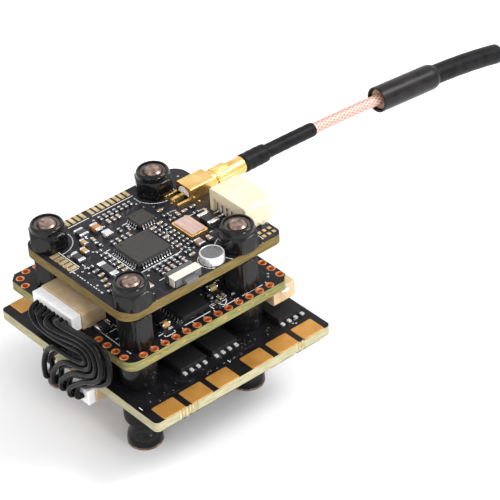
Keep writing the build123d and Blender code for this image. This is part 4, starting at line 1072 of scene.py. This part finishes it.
# ------------------------------------------------------------------------------------------ antenna
@dataclass
class Antenna:
    """The plug, its lead and the radiating end, along one gently drooping line.

    The last three lengths run along the line, in millimetres from its start.
    """

    x: float = -5.45 * MM
    z: float = 26.1 * MM
    lead_start: float = 20.6 * MM
    collar_end: float = 23.7 * MM
    droop_radius: float = 0.4
    droop_length: float = 28.3 * MM
    sleeve_length: float = 12.0 * MM
    tip_length: float = 15.4 * MM
    tip_radius: float = 0.11
    shrink_start: float = 3.1
    sleeve_start: float = 31.4
    lead_length: float = 35.4
    line: Array = field(init=False)

    def __post_init__(self) -> None:
        """Works out the lead's line: straight, an arc, straight in the sleeve, then a tighter arc."""
        turn = np.linspace(0, self.droop_length / self.droop_radius, 30)
        droop = np.stack((self.collar_end + self.droop_radius * np.sin(turn),
                          self.z - self.droop_radius * (1 - np.cos(turn))), -1)
        heading = np.array((math.cos(turn[-1]), -math.sin(turn[-1])))
        tip_from = droop[-1] + heading * self.sleeve_length
        bend = np.linspace(0, self.tip_length / self.tip_radius, 20)
        ahead = np.sin(bend)[:, None] * heading
        down = (1 - np.cos(bend))[:, None] * np.array((heading[1], -heading[0]))
        tip = tip_from + self.tip_radius * (ahead + down)
        flat = np.concatenate(([(self.lead_start, self.z)], droop, tip))
        self.line = np.c_[np.full(len(flat), self.x), flat]

    def _tube(self, name: str, nodes: Sequence[str], finish: Finish, profile: Sequence[tuple[float, float]],
              sides: int = 40, with_uv: bool = False) -> bpy.types.Object:
        """Sweeps a profile along the line and lets it stand for nodes.

        Args:
            name: the piece's name.
            nodes: the nodes that it stands for.
            finish: its finish.
            profile: (radius, length) corners, in millimetres.
            sides: points round the line.
            with_uv: whether the piece keeps its UV map.

        Returns:
            The object.
        """
        points, faces, uv = swept(self.line, np.array(profile) * MM, sides)
        made = piece(name, points, faces, finish, "antenna", uv=uv if with_uv else None)
        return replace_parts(made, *nodes)

    def build(self) -> None:
        """Makes the antenna's pieces."""
        self._plug()
        begin = self.shrink_start
        wavy = [(1.5 + 0.03 * math.sin(k * 1.7), begin + 0.16 + k * 0.36) for k in range(1, 12)]
        self._tube("thick_heat_shrink", ["antenna_heat_shrink"], SHRINK,
                   [(0.9, begin), (1.42, begin), (1.5, begin + 0.12)] + wavy + [(1.44, 7.75), (1.32, 7.9),
                                                                                (1.15, 8.0)]
                   + [(1.15 + 0.02 * math.sin(k * 2.3), 8.3 + k * 0.6) for k in range(15)]
                   + [(1.15, 17.4), (1.1, 17.72), (1.0, 17.8), (0.9, 17.8)])
        steps = [(0.9, z) for z in np.linspace(0.0, self.lead_length, 60)]
        self._tube("braided_lead", ["antenna_coax"], BRAID,
                   [(0.02, 0.0)] + steps + [(0.02, self.lead_length)], sides=24,
                   with_uv=True)
        s = self.sleeve_start
        self._tube("sleeve", ["antenna_sleeve"], SLEEVE,
                   [(1.8, s + 0.1), (1.9, s), (2.05, s), (2.15, s + 0.12), (2.15, s + 11.2), (2.13, s + 11.7),
                    (2.05, s + 12.15), (1.93, s + 12.45), (1.85, s + 12.55), (1.8, s + 12.5)])
        self._tube("amber_core", ["antenna_core"], AMBER,
                   [(0.92, s + 0.5), (1.3, s + 0.42), (1.7, s + 0.5), (1.74, s + 0.7), (1.74, s + 12.0),
                    (1.3, s + 12.0)]
                   + [(1.3, s + 12.0 + k) for k in range(1, 15)]
                   + [(1.3, s + 26.8), (1.1, s + 27.0), (0.6, s + 27.05), (0.02, s + 27.06), (0.02, s + 4.2),
                      (0.92, s + 4.1)])
        self._tube("tip_tube", ["antenna_tip"], SHRINK,
                   [(1.35, s + 12.0), (1.6, s + 12.0), (1.65, s + 12.1)]
                   + [(1.65 + 0.012 * math.sin(k * 1.9), s + 12.1 + k) for k in range(1, 15)]
                   + [(1.65, s + 27.2), (1.58, s + 27.38), (1.48, s + 27.4), (1.37, s + 27.34),
                      (1.35, s + 27.2)])

    def _plug(self) -> None:
        """The gold plug: a nose with a groove, a flange, a grip with flutes and a crimped collar."""
        axis = np.array([(self.x, 13.6 * MM, self.z), (self.x, 18.0 * MM, self.z),
                         (self.x, 23.7 * MM, self.z)])
        places = [(0.36, 13.6), (0.9, 13.6), (1.0, 13.75), (1.0, 14.89), (0.84, 14.89), (0.84, 15.51),
                  (1.0, 15.51),
                  (1.0, 17.05), (1.5, 17.05), (1.6, 17.15), (1.6, 17.6), (1.45, 17.7), (1.45, 17.8),
                  (1.6, 17.85),
                  (1.7, 18.0), (1.7, 20.4), (1.6, 20.55), (1.42, 20.62), (1.4, 20.8)]
        places += [(1.4 - 0.05 * (k % 2), 21.0 + 0.28 * k) for k in range(9)]
        places += [(1.4, 23.55), (1.34, 23.7), (0.9, 23.7), (0.9, 20.6), (0.36, 16.0)]
        profile = np.array(places) * MM - (0, 13.6 * MM)

        def flutes(shape: Array, angle: Array) -> Array:
            """Takes a shallow groove out of the grip at each of 20 places round it.

            Args:
                shape: the profile's (radius, height) rows.
                angle: the angles round it.

            Returns:
                The radius of each row at each angle.
            """
            reach = np.repeat(shape[:, :1], angle.shape[1], 1)
            grip = (shape[:, :1] > 1.65 * MM)
            dip = np.maximum(0, np.cos(20 * angle)) ** 2 * 0.10 * MM
            return np.where(grip, reach - dip, reach)

        points, faces, _ = swept(axis, profile, 160, flutes)
        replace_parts(piece("antenna_plug_turned", points, faces, GOLD, "antenna", 32.0),
                    "antenna_plug")


# ------------------------------------------------------------------------------------------ small parts
@dataclass
class SmallParts:
    """Ceramic and tantalum parts with tinned ends, in place of plain blocks."""

    seed: int = 7
    end_share: float = 0.24
    tints: tuple[Colour, ...] = ((0.30, 0.20, 0.12), (0.42, 0.30, 0.18), (0.03, 0.03, 0.035),
                                 (0.16, 0.13, 0.11),
                                 (0.05, 0.05, 0.055))
    near: float = 0.4
    sharpness: float = 0.22
    known: tuple[tuple[str, float, float, Colour], ...] = (
        ("vtx", 2.3, 10.6, (0.012, 0.012, 0.013)), ("vtx", -7.6, -2.9, (0.50, 0.20, 0.05)),
        ("vtx", -5.5, -2.4, (0.62, 0.61, 0.59)), ("vtx", -8.3, -5.2, (0.02, 0.02, 0.022)),
        ("vtx", -6.1, -6.4, (0.50, 0.30, 0.09)), ("vtx", -4.3, -7.6, (0.50, 0.27, 0.07)),
        ("fc", 8.2, 5.9, (0.60, 0.42, 0.16)), ("fc", 10.3, -4.8, (0.55, 0.30, 0.08)))

    def build(self, frame: dict, node: str, body: str) -> None:
        """Makes bodies and ends at the boxes of a node's solids.

        Args:
            node: the node that they stand for.
            body: the body they ride on.
        """
        boxes = islands(frame, node)
        middle, half = boxes.mean(1), (boxes[:, 1] - boxes[:, 0]) / 2
        long_axis = np.argmax(half[:, :2], axis=1)
        pick = np.random.default_rng(self.seed).integers(0, len(self.tints), len(boxes))
        colours = np.array([self.tints[k] for k in pick])
        for board, x, y, colour in self.known:
            distance = np.linalg.norm(middle[:, :2] - np.array((x, y)) * MM, axis=1)
            if node.startswith(board) and distance.min() < self.near * MM:
                colours[np.argmin(distance)] = colour
        along = np.eye(3)[long_axis]
        inner = half * np.where(along > 0, 0.97, 0.93)
        inner[:, 2] = half[:, 2] * 0.95
        points, faces = rounded_boxes(middle, inner, self.sharpness)
        bodies = piece(node + "_bodies", points, faces, CERAMIC, body, 50.0)
        self._tint(bodies, middle, colours)
        reach = half * along * (1 - self.end_share)
        ends = np.concatenate((middle - reach, middle + reach))
        cap = half * np.where(along > 0, self.end_share, 1.0)
        points, faces = rounded_boxes(ends, np.concatenate((cap, cap)), self.sharpness)
        piece(node + "_ends", points, faces, SOLDER, body, 50.0)
        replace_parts(bodies, node)

    @staticmethod
    def _tint(made: bpy.types.Object, middle: Array, colours: Array) -> None:
        """Writes each vertex's colour: that of the nearest part.

        Args:
            made: the object to colour.
            middle: (N, 3) middles of the parts.
            colours: (N, 3) their colours.
        """
        places = vertex_places(made.data)
        nearest = np.argmin(np.linalg.norm(places[:, None] - middle[None], axis=2), axis=1)
        layer = made.data.color_attributes.new("body_tint", "FLOAT_COLOR", "POINT")
        layer.data.foreach_set("color", np.c_[colours[nearest], np.ones(len(nearest))].reshape(-1))


# ------------------------------------------------------------------------------------------ boards
@dataclass
class Boards:
    """The three boards with their pads, holes, printed lines, tracks and chips."""

    ink: float = 0.012 * MM
    seed: int = 3

    def build(self, frame: dict) -> None:
        """Dresses the boards and makes what is printed and plated on them.
        """
        for node, finish in (("esc_board", ESC_BOARD), ("fc_board", FC_BOARD), ("vtx_board", VTX_BOARD)):
            paint(frame, node, finish)
        self._print()
        self._tracks()
        self._vias()
        self._eyelets(frame)
        self._edge_plating()
        self._pads(frame, "esc_solder_pads", PAD_GOLD)
        self._pads(frame, "vtx_solder_pads", PALE_GOLD)
        self._chips(frame)

    def _pads(self, frame: dict, node: str, finish: Finish) -> None:
        """Slightly domed gold pads over the CAD ones.

        Args:
            node: the pads' node.
            finish: their finish.
        """
        boxes = islands(frame, node)
        half = (boxes[:, 1] - boxes[:, 0]) / 2
        points, faces = rounded_boxes(boxes.mean(1), half, 0.12, 7, 20)
        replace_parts(piece(node + "_plated", points, faces, finish, "stack", 60.0), node)

    def _eyelets(self, frame: dict) -> None:
        """A plated ring round each wire hole: a half-round rim that turns down into the barrel.
        """
        boxes = islands(frame, "fc_eyelets")
        wide = (boxes[:, 1, 0] - boxes[:, 0, 0]) > 1.2 * MM
        centres = boxes[wide].mean(1) * (1, 1, 0) + (0, 0, FC_TOP)
        profile = np.array([(0.42, -1.6), (0.42, 0.0), (0.45, 0.05), (0.52, 0.08), (0.62, 0.075),
                            (0.68, 0.04),
                            (0.68, 0.0), (0.5, 0.0), (0.5, -1.6)]) * MM
        points, faces = turned(profile, 24)
        points, faces = copies(points, faces, centres)
        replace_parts(piece("wire_hole_plating", points, faces, COPPER, "stack"), "fc_eyelets")

    def _edge_plating(self) -> None:
        """Plated columns in the half-round notches of the controller's two long edges."""
        low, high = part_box("esc_board")
        along = np.array([-10.3 + 0.6 * k for k in range(6)] + [12.0 + 0.6 * k for k in range(3)]) * MM
        inset = 0.15 * MM
        middle = (low.z + high.z) / 2
        places = np.array([(x, y, middle) for x in (low.x + inset, high.x - inset) for y in along])
        points, faces = rounded_boxes(places, np.full((len(places), 3), (0.13, 0.17, 0.81)) * MM, 0.3)
        piece("edge_plating", points, faces, PALE_GOLD, "stack")

    def _print(self) -> None:
        """White printed lines: corner marks, arcs round the nuts and outlines."""
        spans = (((-10, -10), 0, 90), ((10, -10), 95, 185), ((10, -10), 53, 80), ((10, 10), 185, 305),
                 ((10, 10), 54, 84), ((-10, 10), 262, 355))
        lines = [arc(nut, 3.55, start, end) for nut, start, end in spans]
        lines += [[(-2.5, -4.4), (-2.5, -5.15), (5.3, -5.15), (5.3, 2.9)],
                  [(-0.9, 12.4), (-0.9, 9.0), (0.3, 9.0)], [(4.5, 9.1), (4.5, 9.5)],
                  [(-11.2, 6.7), (-11.2, -1.0)], [(-11.2, -1.7), (-11.2, -5.5)],
                  [(-7.4, -10.3), (-2.2, -10.3)], [(-2.0, -10.6), (-2.0, -12.1)],
                  [(8.7, -3.9), (8.7, 1.9), (9.6, 1.9)], arc((10.1, 4.85), 2.15, 150, 330),
                  [(8.6, 13.6), (11.4, 13.6)], [(-9.0, 12.3), (-7.6, 12.3), (-7.6, 13.6)]]
        draw = np.random.default_rng(self.seed + 2)
        for x, y, span in ((-6.2, -11.7, 11.5), (-5.9, -9.6, 4.4), (-10.8, 6.6, 0.1), (0.8, 13.9, 4.6),
                           (5.6, -8.2, 3.4)):
            steps = x + np.cumsum(draw.uniform(0.35, 0.8, int(span / 0.55)))
            lines += [[(start, y), (start + 0.2, y)] for start in steps if start < x + span]
        points, faces = ribbons(lines, 0.14, VTX_TOP, self.ink)
        piece("transmitter_print", points, faces, SILK, "stack")
        lines = [[(12.05, -2.5), (12.05, 2.25)], [(6.1, -3.0), (6.1, 3.1), (11.9, 3.1)],
                 [(11.6, 4.2), (12.3, 5.0), (11.6, 5.8)],
                 [(11.9, -4.4), (12.3, -4.4), (12.3, -6.2), (11.9, -6.2)],
                 [(3.2, -9.9), (5.6, -9.9), (5.6, -12.0)],
                 [(-13.9, 2.0), (-13.9, 5.0)], [(12.45, 12.0), (12.45, 8.2)], [(12.45, 7.4), (12.45, 4.4)]]
        lines += [[(12.3, 12.8 - 2.0 * k), (12.5, 12.8 - 2.0 * k)] for k in range(12)]
        lines += [[(11.35 - 0.1 * (k % 3), 11.9 - 2.0 * k),
                   (11.35 - 0.1 * (k % 3), 11.2 - 2.0 * k)] for k in range(11)]
        lines += [[(10.9, 11.9 - 2.0 * k), (10.9, 11.4 - 2.0 * k)] for k in range(2, 9)]
        lines += [[(x, -12.35), (x + 0.35, -12.35)] for x in np.arange(5.2, 12.0, 0.62)]
        lines += [[(x, -11.8), (x, -11.5)] for x in np.arange(5.6, 11.5, 2.0)]
        points, faces = ribbons(lines, 0.15, FC_TOP, self.ink)
        piece("flight_print", points, faces, SILK, "stack")
        lines = [[(15.2, -14.2), (15.9, -14.2)], [(15.7, 2.1), (16.2, 2.1)]]
        points, faces = ribbons(lines, 0.14, ESC_TOP, self.ink)
        piece("controller_print", points, faces, SILK, "stack")

    def _tracks(self) -> None:
        """Raised tracks under the solder mask: short runs with one bend of 45 degrees."""
        draw = np.random.default_rng(self.seed)
        areas = {"controller": ((13.4, 16.0, -13.5, 17.5), ESC_TOP, 12, "esc_laminate"),
                 "flight": ((4.0, 12.0, -12.0, 14.5), FC_TOP, 70, "fc_laminate"),
                 "transmitter": ((-11.0, 11.0, -11.5, 15.0), VTX_TOP, 150, "vtx_laminate")}
        for name, ((x0, x1, y0, y1), level, count, slot) in areas.items():
            start = draw.uniform((x0, y0), (x1, y1), (count, 2))
            heading = draw.integers(0, 8, count) * math.pi / 4
            turn = heading + draw.choice((-1, 1), count) * math.pi / 4
            first, second = draw.uniform(0.5, 1.8, (2, count, 1))
            bend = start + first * np.stack((np.cos(heading), np.sin(heading)), -1)
            end = bend + second * np.stack((np.cos(turn), np.sin(turn)), -1)
            runs = np.clip(np.stack((start, bend, end), 1), (x0, y0), (x1, y1))
            clear = np.linalg.norm(np.abs(runs) - 10.0, axis=2).min(1) > 3.4
            lines = [[tuple(p) for p in run] for run in runs[clear]]
            points, faces = ribbons(lines, 0.16, level, 0.6 * self.ink)
            piece(name + "_tracks", points, faces, TRACK, "stack")

    def _vias(self) -> None:
        """Tiny plated dots: flat rings of tin on the mask."""
        draw = np.random.default_rng(self.seed + 1)
        for name, (x0, x1, y0, y1), level, count, slot in (
                ("controller", (12.8, 16.0, -13.5, 17.5), ESC_TOP, 46, "esc_laminate"),
                ("flight", (3.6, 12.4, -12.4, 14.8), FC_TOP, 60, "fc_laminate"),
                ("transmitter", (-11.0, 11.2, -11.8, 15.2), VTX_TOP, 120, "vtx_laminate")):
            places = draw.uniform((x0, y0), (x1, y1), (count, 2))
            places = places[np.linalg.norm(np.abs(places) - 10.0, axis=1) > 3.5]
            profile = np.array([(0.07, 0.0), (0.07, 0.014), (0.15, 0.016), (0.19, 0.0)]) * MM
            points, faces = turned(profile, 10)
            points, faces = copies(points, faces, np.c_[places * MM, np.full(len(places), level)])
            piece(name + "_vias", points, faces, TIN, "stack")

    def _chips(self, frame: dict) -> None:
        """Chips with broken edges, and their tinned leads.
        """
        # The transmitter's two chips take the lighter package colour, which is painted sheen.
        for node, finish in (("esc_transistors", CHIP), ("fc_processor", CHIP), ("fc_display_chip", CHIP),
                             ("vtx_video_chip", SHEEN_LIT_PACKAGE), ("vtx_radio_chip", SHEEN_LIT_PACKAGE)):
            rounded_copy(frame, node, finish, "stack", 0.07)
        for node, finish in (("esc_transistor_leads", LEAD), ("vtx_chip_leads", TIN), ("fc_chip_leads", TIN)):
            paint(frame, node, finish)


# ------------------------------------------------------------------------------------------ top parts
@dataclass
class TopParts:
    """The jack, microphone, crystal, switch and connectors."""

    def build(self, frame: dict) -> None:
        """Makes them all.
        """
        for node, finish, width in (("jack_body", GOLD, 0.1), ("crystal_base", GOLD, 0.05),
                                    ("crystal_lid", CRYSTAL_LID, 0.04)):
            rounded_copy(frame, node, finish, "stack", width)
        self._microphone()
        # The camera header takes the lit copy of the connector plastic and the other headers the shaded copy:
        # painted light and shade.
        for node, finish, body, width in (
                ("switch_housing", SWITCH_GREY, "stack", 0.06), ("switch_button", BUTTON_GREY,
                                                                 "channel_button", 0.06),
                ("switch_cover", COVER, "stack", 0.05), ("boot_switch_housing", SWITCH_GREY, "stack", 0.06),
                ("camera_header", LIT_CONNECTOR, "stack", 0.12), ("harness_headers", SHADED_CONNECTOR, "stack", 0.12),
                ("rear_header", SHADED_CONNECTOR, "stack", 0.12), ("usb_shell", STEEL, "stack", 0.06)):
            rounded_copy(frame, node, finish, body, width)
        for node, finish in (("jack_insulator", WHITE), ("jack_contact", GOLD), ("antenna_snap_ring", GOLD),
                             ("boot_button", BUTTON_GREY), ("header_contacts", TIN), ("usb_tongue", CHIP)):
            paint(frame, node, finish)

    def _microphone(self) -> None:
        """A drawn can with a rolled rim, and felt that bulges a little in the middle."""
        centre = np.array([(10.1 * MM, 4.85 * MM, VTX_TOP)])
        can = np.array([(0.0, 0.0), (1.85, 0.0), (1.9, 0.06), (1.9, 1.22), (1.86, 1.36), (1.78, 1.44),
                        (1.7, 1.45),
                        (1.65, 1.41), (1.63, 1.33), (0.0, 1.33)]) * MM
        points, faces = turned(can, 56)
        points, faces = copies(points, faces[faces[:, 0] < (len(can) - 1) * 56], centre)
        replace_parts(piece("microphone_case", points, faces, CAN, "stack"), "microphone_can")
        felt = np.array([(0.0, 1.335), (1.62, 1.335), (1.62, 1.36), (1.5, 1.4), (1.0, 1.425), (0.5, 1.43),
                         (0.0, 1.43)]) * MM
        points, faces = turned(felt, 48)
        points, faces = copies(points, faces[faces[:, 0] < (len(felt) - 1) * 48], centre)
        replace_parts(piece("microphone_pad", points, faces, FELT, "stack"), "microphone_felt")


def main() -> None:
    """Builds the stage and every sub-assembly in order."""
    logging.basicConfig(level=logging.INFO, format="%(name)s: %(message)s")
    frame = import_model()
    studio = Studio()
    studio.camera()
    harness = Harness()
    harness.wires()
    harness.plugs(frame)
    studio.floor()
    studio.lights()
    Boards().build(frame)
    small = SmallParts()
    for node in ("vtx_small_parts", "vtx_power_parts", "fc_small_parts", "esc_small_parts"):
        small.build(frame, node, "stack")
    TopParts().build(frame)
    Hardware().build()
    Antenna().build()
    bpy.context.view_layer.update()


if __name__ == "__main__":
    main()
